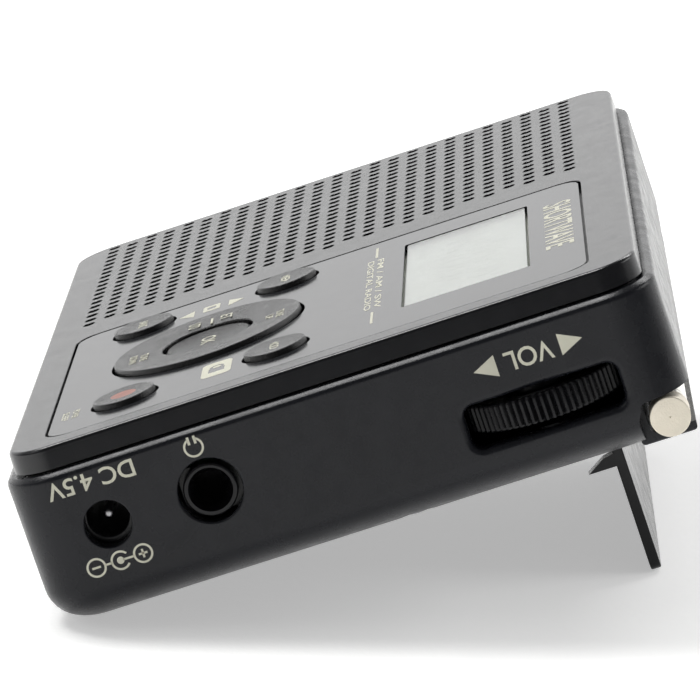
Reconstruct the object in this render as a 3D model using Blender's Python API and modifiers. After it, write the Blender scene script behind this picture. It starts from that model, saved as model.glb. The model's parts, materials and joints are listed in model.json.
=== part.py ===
"""Pocket shortwave receiver: two cabinet shells, controls, works, telescopic aerial and fold-out stand.

The set is drawn upright in its own frame, in millimetres: x runs to the viewer's right, y up the
height, z out of the front face, with the front face at z = 0. The finished assembly hangs on one
empty that leans it back onto its bottom edge and its open stand.
"""
import math

import bmesh
import bpy
from mathutils import Matrix, Vector

MM = 0.001

# ---------------------------------------------------------------- driving dimensions (mm, degrees)
WIDTH, HEIGHT, DEPTH = 115.0, 75.0, 21.5
GAP = 0.3                       # between pieces that touch on the bench
PAST = 1.0                      # how far a cutter runs past the face that it opens
OVERLAP = 0.4                   # how far joined pieces sink into each other
WALL = 1.8
FACE_THICK, BACK_THICK = 1.6, 1.6
INSET = 1.2                     # the front shell's outline inside the back shell's
SEAM_Z = -2.5                   # rim of the front shell
LIP_Z, LIP_STEP, LIP_THICK = -5.0, 0.4, 1.1         # its lip slides inside the back shell
FRONT_EDGE, SEAM_EDGE, BACK_ROUND = 0.5, 0.6, 5.5
CORNER, INNER_CORNER, INNER_ROUND = 6.0, 4.2, 3.9
LEAN = math.radians(18.4)

HALF = WIDTH / 2.0
FRONT_X = HALF - INSET
PANEL = (0.3, 52.3, 5.4, 68.6)
PANEL_THICK, PANEL_SINK, PANEL_CORNER = 0.8, 0.05, 2.7
RECESS_SPARE = 0.1
LCD = (7.2, 42.3, 46.8, 61.9)
LCD_GLASS_Z = (-0.85, -0.12)
LCD_MODULE, LCD_MODULE_Z = (5.0, 44.5, 45.3, 63.2), (-4.9, -1.3)
KEY_WINDOW = (1.8, 48.0, 9.0, 39.0)
WINDOWS_Z = (-4.0, 1.0)

GRILLE_ROWS, GRILLE_PITCH_Y, GRILLE_FIRST_Y = 25, 2.547, 6.3
GRILLE_NEAR_X, GRILLE_FAR_X, GRILLE_SLOT, GRILLE_SHIFT = -7.1, -52.6, 1.4, 1.3

NAV = (24.9, 23.2)
NAV_R, NAV_HOLE_R, OK_R = 11.35, 5.5, 5.05
NAV_TOP, NAV_DROP, OK_TOP, OK_DISH, OK_BASE_Z = 0.5, 0.25, 0.0, 0.2, -3.7
NAV_CLEARANCE, NAV_PIVOT_Z = 0.35, -3.0
NAV_FLANGE, NAV_FLANGE_Z = 0.8, (-2.9, -2.2)
PIVOT_RING_R, PIVOT_RING_Z = (6.2, 6.9), (-3.8, -3.3)
KEY_R, KEY_TOP, KEY_DISH = 3.7, 0.55, 0.08
KEY_SPREAD = (18.4, 8.9)        # from the rocker's middle to a key's, across and up
KEYS = {
    "band_button": (-1, -1),
    "memory_button": (-1, 1),
    "mode_button": (1, 1),
    "power_button": (1, -1),
}
KEY_FLANGE, KEY_FLANGE_Z = 0.3, (-3.4, -2.6)
RIM_IN, RIM_DOWN = 0.1, 0.15    # the soft rim of a key or of the rocker
MAT, MAT_Z, MAT_CORNER = (2.2, 47.6, 9.0, 40.0), (-4.9, -4.3), 1.5

BOARD = (-5.0, 52.5, 5.2, 69.5)
BOARD_Z = (-6.8, -5.2)
BOARD_HOLE_SPARE = 0.5
SHIELD, SHIELD_Z, SHIELD_CORNER = (8.0, 31.0, 51.0, 64.0), (-10.0, -7.1), 0.6
SPEAKER = (-30.3, 36.9)
SPEAKER_R, MAGNET_R, MAGNET_Z = 20.0, 11.0, (-15.5, -9.5)
CLOTH, CLOTH_Z, CLOTH_CORNER = (-53.8, -5.5, 5.0, 69.0), (-2.0, -1.75), 2.0
CLOTH_HOLE_SPARE = 0.4
FERRITE_PLACE, FERRITE_X, FERRITE_R = (46.6, -14.0), (-4.5, 30.0), 2.4
COIL_X, COIL_R, COIL_HALF = 7.0, (2.7, 3.3), 7.0

DC_Y, DC_Z, DC_HOLE_R = 9.9, -9.6, 2.65
PHONES_Y, PHONES_Z, PHONES_HOLE_R = 21.8, -9.9, 3.6
JACK_X, JACK_BORE_X, SIDE_CUT_X = (45.2, 55.3), 47.0, (54.0, 60.0)
PHONES_HALF, PHONES_BODY_Z, PHONES_BORE_R = 3.5, (-13.0, -7.1), 1.8
NOSE_R, NOSE_X, MOUTH_X, MOUTH_R = 3.05, (54.0, 57.2), (55.9, 57.4), (1.5, 2.55)
DC_HALF, DC_BODY_Z, DC_BORE_R = 4.3, (-12.9, -7.1), 2.3

WHEEL_X, WHEEL_Y, WHEEL_R = 48.9, 59.35, 9.6
WHEEL_Z, WHEEL_EDGE, WHEEL_BORE_R = (-13.8, -10.6), 0.4, 1.7
VOLUME_SHAFT_R, VOLUME_SCREW_R, POT_R = 1.4, 2.6, 4.6
SLOT_Y, SLOT_Z = (50.5, 68.2), (-15.0, -9.8)

BAY = (-6.5, 43.5, 6.0, 40.8)
BAY_Z = -8.7
BAY_WALL = 1.2
CELL_R, CELL_LENGTH, CELL_PITCH = 5.25, 44.5, 10.9
CELL_Z, CELL_SHIFT, CELL_EDGE = -14.35, 1.3, 0.4
NUB_R, NUB_HEIGHT = 1.9, 0.8
SPRING_WIRE_R, SPRING_WIDE, SPRING_NARROW, SPRING_TURNS, SPRING_STEPS = 0.22, 3.2, 1.8, 3, 9
SPRING_OFF_WALL, SPRING_OFF_CELL = 0.9, 0.6
CONTACT_HALF_Y, CONTACT_HALF_Z, CONTACT_THICK = 4.4, 4.0, 0.4
DOOR_THICK = 1.5
DOOR_RIB_X, DOOR_RIB_Y, DOOR_RIB_WIDTH, DOOR_RIB_DEPTH = (14.5, 22.5), (33.0, 34.6, 36.2), 0.5, 0.35
DOOR_HINGE_IN = 0.4

AERIAL_Y, AERIAL_Z = 71.95, -17.9
AERIAL_PIVOT_X = -52.6
AERIAL_TUBES = ((2.10, 1.86), (1.62, 1.38), (1.14, 0.90), (0.66, 0.0))
AERIAL_FROM, AERIAL_TO = -49.4, 52.8
TUBE_START_STEP, TUBE_END_STEP = 1.5, 0.05
TIP_R, TIP_LENGTH, TIP_EDGE, TIP_OFF_TUBE = 2.25, 3.6, 0.5, 0.45
KNUCKLE_R, KNUCKLE_Z, KNUCKLE_BORE_R, STEM_R = 2.25, (-20.05, -15.75), 1.1, 1.7
AERIAL_PIN_R, AERIAL_PIN_Z, AERIAL_PIN_HOLE_Z = 0.8, (-21.3, -14.5), -13.0
CHANNEL_Y, CHANNEL_Z = 69.2, (-20.35, -15.4)
CHANNEL_WALL, CHANNEL_END = 1.3, 2.9
GRIP_X = 50.5                   # the channel's rear wall ends here, for a fingertip
GUARD_X, GUARD_Y, GUARD_ROUND = -54.4, 73.9, 0.8    # that wall stands flat behind the aerial

STAND_X = 30.0
STAND_PIVOT_Y, STAND_PIVOT_Z = 64.0, -20.55
STAND_THICK, STAND_BARREL_R = 1.6, 1.0
STAND_RECESS_Y, STAND_RECESS_Z, STAND_SIDE_GAP = (43.2, 66.2), -19.1, 0.4
STAND_BOX_X, STAND_BOX_Y, STAND_BOX_THICK = 2.6, 1.5, 1.4
STAND_PIN_R, STAND_PIN_X, STAND_PIN_BORE_GAP = 0.5, (-2.0, 1.9), 0.2
STAND_PIN_HOLE_X, STAND_PIN_BORE_X = (-1.0, 2.2), (-2.4, 1.0)       # past the stand's end
TAB_DISTANCE, TAB_HEIGHT, TAB_WIDTH, TAB_THICK = 6.45, 3.4, 1.7, 1.7
TAB_SLOT_X, TAB_SLOT_Y, TAB_SLOT_TOP_Z = (-2.6, 0.4), (54.8, 60.1), -15.0

SCREWS = ((-51.0, 7.0), (-51.0, 62.0), (50.5, 42.1), (36.0, 65.6))
BOSS_R, BOSS_END_Z, PILOT_END_Z = 2.0, -16.6, -8.0
POST_R, COUNTERBORE_Z = 3.3, -19.0
SCREW_HEAD_R, SCREW_HEAD_Z = 2.0, (-20.8, -19.3)
SCREW_SHANK_R, SCREW_SHANK_Z = 1.0, (-19.6, -9.0)
CROSS_LONG, CROSS_SHORT, CROSS_Z = 1.1, 0.22, (-21.5, -20.2)

# Sides of the round pieces.
NAV_ROUND, ROUND, HOLE_ROUND, HEAD_ROUND, SMALL_ROUND, PIN_ROUND = 40, 28, 24, 20, 16, 12

# The rear bottom edge and the stand's foot both touch the ground when the set leans back.
EDGE_CENTRE_Y, EDGE_CENTRE_Z = BACK_ROUND, -DEPTH + BACK_ROUND
GROUND = EDGE_CENTRE_Y * math.sin(LEAN) + EDGE_CENTRE_Z * math.cos(LEAN) - BACK_ROUND
STAND_LOW_FACE_Y = STAND_PIVOT_Y - STAND_THICK / 2.0
STAND_FOOT_Z = (GROUND - STAND_LOW_FACE_Y * math.sin(LEAN)) / math.cos(LEAN)


# ---------------------------------------------------------------- scene helpers
def clear_scene():
    for thing in list(bpy.data.objects):
        bpy.data.objects.remove(thing, do_unlink=True)


def make_collection(name):
    collection = bpy.data.collections.new(name)
    bpy.context.scene.collection.children.link(collection)
    return collection


def make_material(name, colour, roughness, metallic=0.0):
    material = bpy.data.materials.new(name)
    material.use_nodes = True
    shader = material.node_tree.nodes["Principled BSDF"]
    shader.inputs["Base Color"].default_value = (*colour, 1.0)
    shader.inputs["Roughness"].default_value = roughness
    shader.inputs["Metallic"].default_value = metallic
    return material


def add_object(name, mesh, collection):
    thing = bpy.data.objects.new(name, mesh)
    collection.objects.link(thing)
    return thing


def from_bmesh(name, bm):
    mesh = bpy.data.meshes.new(name)
    bmesh.ops.recalc_face_normals(bm, faces=bm.faces)
    bm.to_mesh(mesh)
    bm.free()
    return add_object(name, mesh, PARTS)


# ---------------------------------------------------------------- shapes, all sizes in mm
def edges_along(bm, axis):
    """Edges parallel to one axis of a box."""
    return [e for e in bm.edges
            if abs((e.verts[0].co - e.verts[1].co).normalized()[axis]) > 0.999]


def rim_edges(bm, height):
    """Edges of the flat face at one z."""
    level = height * MM
    return [e for e in bm.edges if all(abs(v.co.z - level) < 1e-6 for v in e.verts)]


def block(name, x, y, z, corner=0.0, front=0.0, back=0.0, corner_steps=5, rim_steps=4):
    """A box whose upright corners, front rim and back rim may be rounded."""
    bm = bmesh.new()
    bmesh.ops.create_cube(bm, size=1.0)
    size = Vector((x[1] - x[0], y[1] - y[0], z[1] - z[0])) * MM
    centre = Vector((x[0] + x[1], y[0] + y[1], z[0] + z[1])) * MM / 2.0
    bmesh.ops.scale(bm, vec=size, verts=bm.verts)
    bmesh.ops.translate(bm, vec=centre, verts=bm.verts)
    if corner:
        bmesh.ops.bevel(bm, geom=edges_along(bm, 2), offset=corner * MM, segments=corner_steps,
                        profile=0.5, affect="EDGES")
    for radius, level in ((front, z[1]), (back, z[0])):
        if radius:
            bmesh.ops.bevel(bm, geom=rim_edges(bm, level), offset=radius * MM, segments=rim_steps,
                            profile=0.5, affect="EDGES")
    return from_bmesh(name, bm)


AXIS_TURNS = {
    "x": Matrix.Rotation(math.pi / 2.0, 4, "Y"),
    "z": Matrix.Identity(4),
}


def rod(name, axis, centre, radius, start, end, sides=ROUND, end_radius=None):
    """A cylinder or cone along x or z; centre gives its place on the two other axes."""
    bm = bmesh.new()
    bmesh.ops.create_cone(bm, cap_ends=True, segments=sides, radius1=radius * MM,
                          radius2=(radius if end_radius is None else end_radius) * MM,
                          depth=(end - start) * MM)
    bmesh.ops.transform(bm, matrix=AXIS_TURNS[axis], verts=bm.verts)
    middle = (start + end) / 2.0
    place = {"x": (middle, *centre), "z": (*centre, middle)}
    bmesh.ops.translate(bm, vec=Vector(place[axis]) * MM, verts=bm.verts)
    return from_bmesh(name, bm)


def turned(name, profile, centre, sides=ROUND, axis="z", closed=False):
    """A turned piece: (radius, height) points down its outer side, spun by a Screw modifier."""
    mesh = bpy.data.meshes.new(name)
    points = [(radius * MM, 0.0, height * MM) for radius, height in profile]
    edges = [(i, i + 1) for i in range(len(points) - 1)]
    if closed:
        edges.append((len(points) - 1, 0))
    mesh.from_pydata(points, edges, [])
    thing = add_object(name, mesh, PARTS)
    spin = thing.modifiers.new("Spin", "SCREW")
    spin.axis = "Z"
    spin.steps = sides
    spin.render_steps = sides
    spin.use_merge_vertices = True
    spin.merge_threshold = 0.000001
    settle(thing)
    thing.data.transform(Matrix.Translation(Vector(centre) * MM) @ AXIS_TURNS[axis])
    return thing


def settle(thing):
    """Replace an object's mesh by what its modifiers make of it."""
    evaluated = thing.evaluated_get(bpy.context.evaluated_depsgraph_get())
    mesh = bpy.data.meshes.new_from_object(evaluated)
    mesh.name = thing.name
    thing.modifiers.clear()
    thing.data = mesh


def combine(thing, tools, operation):
    """Cut, join or intersect with each tool in turn, and remove the tools."""
    for tool in tools:
        CUTTERS.objects.link(tool)
        PARTS.objects.unlink(tool)
        tool.hide_render = True
        tool.display_type = "WIRE"
        step = thing.modifiers.new(operation.title(), "BOOLEAN")
        step.operation = operation
        step.solver = "EXACT"
        step.object = tool
        settle(thing)
        bpy.data.objects.remove(tool, do_unlink=True)
    return thing


def cut(thing, *tools):
    return combine(thing, tools, "DIFFERENCE")


def join(thing, *tools):
    return combine(thing, tools, "UNION")


def round_slot(name, x, y, width, z):
    """A long slot with round ends, along x."""
    return block(name, x, (y - width / 2.0, y + width / 2.0), z, corner=width / 2.0 - 0.01,
                 corner_steps=3)


# ---------------------------------------------------------------- cabinet
def front_cabinet():
    shell = block("front_cabinet", (-FRONT_X, FRONT_X), (INSET, HEIGHT - INSET), (SEAM_Z, 0.0),
                  corner=CORNER - INSET, front=FRONT_EDGE, rim_steps=2)
    rim = WALL + LIP_STEP
    join(shell, block("lip", (-HALF + rim, HALF - rim), (rim, HEIGHT - rim), (LIP_Z, SEAM_Z + OVERLAP),
                      corner=4.0))
    rim += LIP_THICK
    cut(shell, block("hollow", (-HALF + rim, HALF - rim), (rim, HEIGHT - rim),
                     (LIP_Z - PAST, -FACE_THICK), corner=3.0))
    for x, y in SCREWS:
        join(shell, rod("boss", "z", (x, y), BOSS_R, BOSS_END_Z, -FACE_THICK + OVERLAP,
                        SMALL_ROUND))
        cut(shell, rod("pilot", "z", (x, y), SCREW_SHANK_R + GAP, BOSS_END_Z - PAST, PILOT_END_Z,
                       SMALL_ROUND))
    recess = (-PANEL_THICK - PANEL_SINK - RECESS_SPARE, PAST)
    cut(shell,
        block("panel_recess", PANEL[:2], PANEL[2:], recess, corner=PANEL_CORNER + GAP),
        block("key_window", KEY_WINDOW[:2], KEY_WINDOW[2:], WINDOWS_Z),
        block("lcd_window", grown(*LCD_MODULE[:2], GAP), grown(*LCD_MODULE[2:], GAP), WINDOWS_Z))
    for row in range(GRILLE_ROWS):
        y = GRILLE_FIRST_Y + row * GRILLE_PITCH_Y
        shift = GRILLE_SHIFT * (row % 2)
        half_slot = GRILLE_SLOT / 2.0
        reach = (GRILLE_FAR_X - half_slot, GRILLE_NEAR_X + half_slot - shift)
        cut(shell, round_slot("grille_slot", reach, y, GRILLE_SLOT, (-FACE_THICK - PAST, PAST)))
    return shell


def outer_body(name):
    return block(name, (-HALF, HALF), (0.0, HEIGHT), (-DEPTH, SEAM_Z - GAP), corner=CORNER,
                 front=SEAM_EDGE, back=BACK_ROUND, corner_steps=6, rim_steps=5)


def grown(low, high, by):
    return (low - by, high + by)


def past_stand(side, reach):
    """A stretch of x measured from one end of the stand, outwards."""
    return sorted(side * (STAND_X + x) for x in reach)


def back_cabinet():
    shell = outer_body("back_cabinet")
    cut(shell, block("cavity", (-HALF + WALL, HALF - WALL), (WALL, HEIGHT - WALL),
                     (-DEPTH + BACK_THICK, 0.0), corner=INNER_CORNER, back=INNER_ROUND,
                     rim_steps=3))
    channel = block("channel_walls", (-HALF, HALF), (CHANNEL_Y - CHANNEL_WALL, HEIGHT),
                    (-DEPTH, CHANNEL_Z[1] + CHANNEL_WALL))
    combine(channel, [outer_body("outline")], "INTERSECT")
    stand_box = block("stand_box", grown(-STAND_X, STAND_X, STAND_BOX_X),
                      grown(*STAND_RECESS_Y, STAND_BOX_Y),
                      (-DEPTH + OVERLAP, STAND_RECESS_Z + STAND_BOX_THICK))
    bay_box = block("bay_box", grown(*BAY[:2], BAY_WALL), grown(*BAY[2:], BAY_WALL),
                    (-DEPTH + OVERLAP, BAY_Z + BAY_WALL))
    guard = block("guard", (GUARD_X, GRIP_X), (CHANNEL_Y - CHANNEL_WALL, GUARD_Y),
                  (-DEPTH, CHANNEL_Z[0] + 1.0), back=GUARD_ROUND, rim_steps=3)
    posts = [rod("post", "z", place, POST_R, -DEPTH + OVERLAP, BOSS_END_Z - GAP, HOLE_ROUND)
             for place in SCREWS]
    join(shell, channel, guard, stand_box, bay_box, *posts)
    for place in SCREWS:
        cut(shell,
            rod("counterbore", "z", place, SCREW_HEAD_R + GAP, -DEPTH - PAST, COUNTERBORE_Z,
                HOLE_ROUND),
            rod("clearance", "z", place, SCREW_SHANK_R + GAP, -DEPTH - PAST, BOSS_END_Z,
                SMALL_ROUND))
    cut(shell,
        block("bay", BAY[:2], BAY[2:], (-DEPTH - PAST, BAY_Z)),
        block("stand_recess", grown(-STAND_X, STAND_X, STAND_SIDE_GAP), STAND_RECESS_Y,
              (-DEPTH - PAST, STAND_RECESS_Z)),
        block("tab_slot", past_stand(1, TAB_SLOT_X), TAB_SLOT_Y, (-DEPTH, TAB_SLOT_TOP_Z)),
        block("channel", (AERIAL_PIVOT_X - CHANNEL_END, HALF + PAST), (CHANNEL_Y, HEIGHT + PAST),
              CHANNEL_Z),
        block("grip", (GRIP_X, HALF + PAST), (CHANNEL_Y, HEIGHT + PAST),
              (-DEPTH - PAST, CHANNEL_Z[1])),
        rod("pivot_hole", "z", (AERIAL_PIVOT_X, AERIAL_Y), KNUCKLE_BORE_R, -DEPTH - PAST,
            AERIAL_PIN_HOLE_Z, SMALL_ROUND),
        rod("dc_hole", "x", (DC_Y, DC_Z), DC_HOLE_R, *SIDE_CUT_X, HOLE_ROUND),
        rod("phones_hole", "x", (PHONES_Y, PHONES_Z), PHONES_HOLE_R, *SIDE_CUT_X, HOLE_ROUND),
        block("wheel_slot", SIDE_CUT_X, SLOT_Y, SLOT_Z))
    for side in (-1, 1):
        cut(shell, rod("pin_hole", "x", (STAND_PIVOT_Y, STAND_PIVOT_Z), STAND_PIN_R + GAP,
                       *past_stand(side, STAND_PIN_HOLE_X), SMALL_ROUND))
    return shell


def control_panel():
    top = -PANEL_SINK
    panel = block("control_panel", grown(*PANEL[:2], -GAP), grown(*PANEL[2:], -GAP),
                  (top - PANEL_THICK, top), corner=PANEL_CORNER)
    cut(panel,
        block("lcd_hole", LCD[:2], LCD[2:], WINDOWS_Z),
        rod("nav_hole", "z", NAV, NAV_R + NAV_CLEARANCE, *WINDOWS_Z, NAV_ROUND))
    for name in KEYS:
        cut(panel, rod("key_hole", "z", key_centre(name), KEY_R + GAP, *WINDOWS_Z, HOLE_ROUND))
    return panel


def screws():
    for number, place in enumerate(SCREWS, 1):
        x, y = place
        head = rod(f"case_screw_{number}", "z", place, SCREW_HEAD_R, *SCREW_HEAD_Z, HEAD_ROUND)
        join(head, rod("shank", "z", place, SCREW_SHANK_R, *SCREW_SHANK_Z, SMALL_ROUND))
        for across, up in ((CROSS_LONG, CROSS_SHORT), (CROSS_SHORT, CROSS_LONG)):
            cut(head, block("cross", grown(x, x, across), grown(y, y, up), CROSS_Z))


# ---------------------------------------------------------------- controls
def key_centre(name):
    across, up = KEYS[name]
    return (NAV[0] + across * KEY_SPREAD[0], NAV[1] + up * KEY_SPREAD[1])


def soft_rim(radius, top):
    """The rounded edge of a cap, and the slight flare of the wall below it."""
    return ((radius - 3.0 * RIM_IN, top), (radius - RIM_IN, top - RIM_DOWN), (radius, -PANEL_SINK))


def key_cap(name):
    low, high = KEY_FLANGE_Z
    edge = KEY_R + KEY_FLANGE
    profile = ((0.0, KEY_TOP - KEY_DISH), *soft_rim(KEY_R, KEY_TOP), (KEY_R, high), (edge, high),
               (edge, low), (0.0, low))
    return turned(name, profile, (*key_centre(name), 0.0), HEAD_ROUND)


def nav_ring():
    low, high = NAV_FLANGE_Z
    edge = NAV_R + NAV_FLANGE
    profile = ((NAV_HOLE_R, NAV_TOP - NAV_DROP), *soft_rim(NAV_R, NAV_TOP), (NAV_R, high),
               (edge, high), (edge, low), (NAV_HOLE_R, low))
    return turned("nav_ring", profile, (*NAV, 0.0), NAV_ROUND, closed=True)


def nav_pivot_ring():
    """The ring under the rocker: narrow and low enough to clear it at full tilt."""
    profile = ((PIVOT_RING_R[0], PIVOT_RING_Z[1]), (PIVOT_RING_R[1], PIVOT_RING_Z[1]),
               (PIVOT_RING_R[1], PIVOT_RING_Z[0]), (PIVOT_RING_R[0], PIVOT_RING_Z[0]))
    return turned("nav_pivot_ring", profile, (*NAV, 0.0), HEAD_ROUND, closed=True)


def ok_button():
    profile = ((0.0, OK_TOP - OK_DISH), (OK_R - RIM_DOWN, OK_TOP), (OK_R, OK_TOP - RIM_DOWN),
               (OK_R, OK_BASE_Z), (0.0, OK_BASE_Z))
    return turned("ok_button", profile, (*NAV, 0.0), HOLE_ROUND)


def keypad_mat():
    return block("keypad_mat", MAT[:2], MAT[2:], MAT_Z, corner=MAT_CORNER, corner_steps=2)


def display():
    block("lcd_window", grown(*LCD[:2], -GAP), grown(*LCD[2:], -GAP), LCD_GLASS_Z)
    block("lcd_module", LCD_MODULE[:2], LCD_MODULE[2:], LCD_MODULE_Z)


# ---------------------------------------------------------------- works
def main_board():
    board = block("main_board", BOARD[:2], BOARD[2:], BOARD_Z)
    for x, y in SCREWS[2:]:
        cut(board, rod("boss_hole", "z", (x, y), BOSS_R + BOARD_HOLE_SPARE, BOARD_Z[0] - PAST,
                       BOARD_Z[1] + PAST, SMALL_ROUND))
    return board


def tuner_shield():
    return block("tuner_shield", SHIELD[:2], SHIELD[2:], SHIELD_Z, corner=SHIELD_CORNER,
                 corner_steps=2)


def speaker():
    centre = (*SPEAKER, 0.0)
    basket = ((SPEAKER_R, -2.4), (SPEAKER_R, -3.8), (18.6, -3.8), (12.5, -9.2), (6.0, -9.2),
              (6.0, -8.4), (12.0, -8.4), (17.8, -3.2), (17.8, -2.4))
    turned("speaker_frame", basket, centre, ROUND, closed=True)
    cone = ((0.0, -5.4), (3.4, -5.9), (5.0, -7.1), (16.6, -2.9), (17.4, -2.9), (17.4, -3.3),
            (5.0, -7.8), (0.0, -7.0))
    turned("speaker_cone", cone, centre, HOLE_ROUND)
    rod("speaker_magnet", "z", SPEAKER, MAGNET_R, *MAGNET_Z)
    cloth = block("grille_cloth", CLOTH[:2], CLOTH[2:], CLOTH_Z, corner=CLOTH_CORNER,
                  corner_steps=2)
    for x, y in SCREWS[:2]:
        cut(cloth, rod("boss_hole", "z", (x, y), BOSS_R + CLOTH_HOLE_SPARE, CLOTH_Z[0] - PAST,
                       CLOTH_Z[1] + PAST, SMALL_ROUND))


def volume_control():
    centre = (WHEEL_X, WHEEL_Y)
    low, high = WHEEL_Z
    flat = WHEEL_R - WHEEL_EDGE
    profile = ((WHEEL_BORE_R, high), (flat, high), (WHEEL_R, high - WHEEL_EDGE),
               (WHEEL_R, low + WHEEL_EDGE), (flat, low), (WHEEL_BORE_R, low))
    turned("volume_wheel", profile, (*centre, 0.0), NAV_ROUND, closed=True)
    rod("volume_shaft", "z", centre, VOLUME_SHAFT_R, low - 0.2, high + GAP, SMALL_ROUND)
    rod("volume_screw", "z", centre, VOLUME_SCREW_R, low - 1.2, low - 0.5, HEAD_ROUND)
    rod("volume_pot", "z", centre, POT_R, high + 2.0 * GAP, BOARD_Z[0] - GAP, HOLE_ROUND)


def jacks():
    place = (PHONES_Y, PHONES_Z)
    phones = block("headphone_jack", JACK_X, grown(PHONES_Y, PHONES_Y, PHONES_HALF), PHONES_BODY_Z)
    join(phones, rod("nose", "x", place, NOSE_R, *NOSE_X, HOLE_ROUND))
    cut(phones,
        rod("bore", "x", place, PHONES_BORE_R, JACK_BORE_X, NOSE_X[1] + PAST, HOLE_ROUND),
        rod("mouth", "x", place, MOUTH_R[0], *MOUTH_X, HOLE_ROUND, end_radius=MOUTH_R[1]))
    dc = block("dc_jack", JACK_X, grown(DC_Y, DC_Y, DC_HALF), DC_BODY_Z)
    cut(dc, rod("bore", "x", (DC_Y, DC_Z), DC_BORE_R, JACK_BORE_X, JACK_X[1] + PAST, HOLE_ROUND))
    turned("dc_jack_pin", ((0.0, 54.6), (0.45, 54.2), (0.65, 53.6), (0.65, 47.3), (0.0, 47.3)),
           (0.0, DC_Y, DC_Z), SMALL_ROUND, axis="x")


def ferrite_aerial():
    rod("ferrite_rod", "x", FERRITE_PLACE, FERRITE_R, *FERRITE_X, HEAD_ROUND)
    inner, outer = COIL_R
    profile = ((inner, COIL_HALF), (outer, COIL_HALF), (outer, -COIL_HALF), (inner, -COIL_HALF))
    return turned("ferrite_coil", profile, (COIL_X, *FERRITE_PLACE), HEAD_ROUND, axis="x",
                  closed=True)


# ---------------------------------------------------------------- battery bay
def battery_door():
    door = block("battery_door", grown(*BAY[:2], -GAP), grown(*BAY[2:], -GAP),
                 (-DEPTH, -DEPTH + DOOR_THICK))
    return cut(door, *(block("rib", DOOR_RIB_X, (y, y + DOOR_RIB_WIDTH),
                             (-DEPTH - PAST, -DEPTH + DOOR_RIB_DEPTH)) for y in DOOR_RIB_Y))


def coil_spring(name, start, centre, length):
    """A cone-shaped contact spring along x, wound from a round wire."""
    curve = bpy.data.curves.new(name, "CURVE")
    curve.dimensions = "3D"
    curve.bevel_depth = SPRING_WIRE_R * MM
    curve.bevel_resolution = 1
    curve.use_fill_caps = True
    count = SPRING_TURNS * SPRING_STEPS + 1
    spline = curve.splines.new("POLY")
    spline.points.add(count - 1)
    for i in range(count):
        part = i / (count - 1)
        angle = part * SPRING_TURNS * 2.0 * math.pi
        radius = SPRING_WIDE + (SPRING_NARROW - SPRING_WIDE) * part
        point = Vector((start + length * part, centre[0] + radius * math.cos(angle),
                        centre[1] + radius * math.sin(angle))) * MM
        spline.points[i].co = (*point, 1.0)
    guide = add_object(name + "_path", curve, CUTTERS)
    mesh = bpy.data.meshes.new_from_object(
        guide.evaluated_get(bpy.context.evaluated_depsgraph_get()))
    bpy.data.objects.remove(guide, do_unlink=True)
    bm = bmesh.new()
    bm.from_mesh(mesh)
    bmesh.ops.remove_doubles(bm, verts=bm.verts, dist=0.000001)
    return from_bmesh(name, bm)


def batteries():
    middle = (BAY[2] + BAY[3]) / 2.0
    for number in range(3):
        y = middle + (number - 1) * CELL_PITCH
        flip = -1.0 if number == 1 else 1.0
        low, high = -CELL_LENGTH / 2.0, CELL_LENGTH / 2.0
        shoulder, flat = high - NUB_HEIGHT, CELL_R - CELL_EDGE
        profile = ((0.0, high), (NUB_R, high), (NUB_R, shoulder), (flat, shoulder),
                   (CELL_R, shoulder - CELL_EDGE), (CELL_R, low + CELL_EDGE), (flat, low),
                   (0.0, low))
        centre_x = (BAY[0] + BAY[1]) / 2.0 + flip * CELL_SHIFT
        cell = turned(f"battery_cell_{number + 1}", profile, (0.0, 0.0, 0.0), HOLE_ROUND, axis="x")
        if flip < 0:
            cell.data.transform(Matrix.Rotation(math.pi, 4, "Y"))
        cell.data.transform(Matrix.Translation(Vector((centre_x, y, CELL_Z)) * MM))
        spring_wall = BAY[0] if flip > 0 else BAY[1]
        spring_start = spring_wall + flip * SPRING_OFF_WALL
        room = abs(centre_x - flip * high - spring_start) - SPRING_OFF_CELL
        coil_spring(f"battery_spring_{number + 1}", spring_start, (y, CELL_Z), flip * room)
        plate_wall = BAY[1] if flip > 0 else BAY[0]
        plate_x = sorted(plate_wall - flip * off for off in (GAP, GAP + CONTACT_THICK))
        block(f"battery_plate_{number + 1}", plate_x, grown(y, y, CONTACT_HALF_Y),
              grown(CELL_Z, CELL_Z, CONTACT_HALF_Z))


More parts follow.
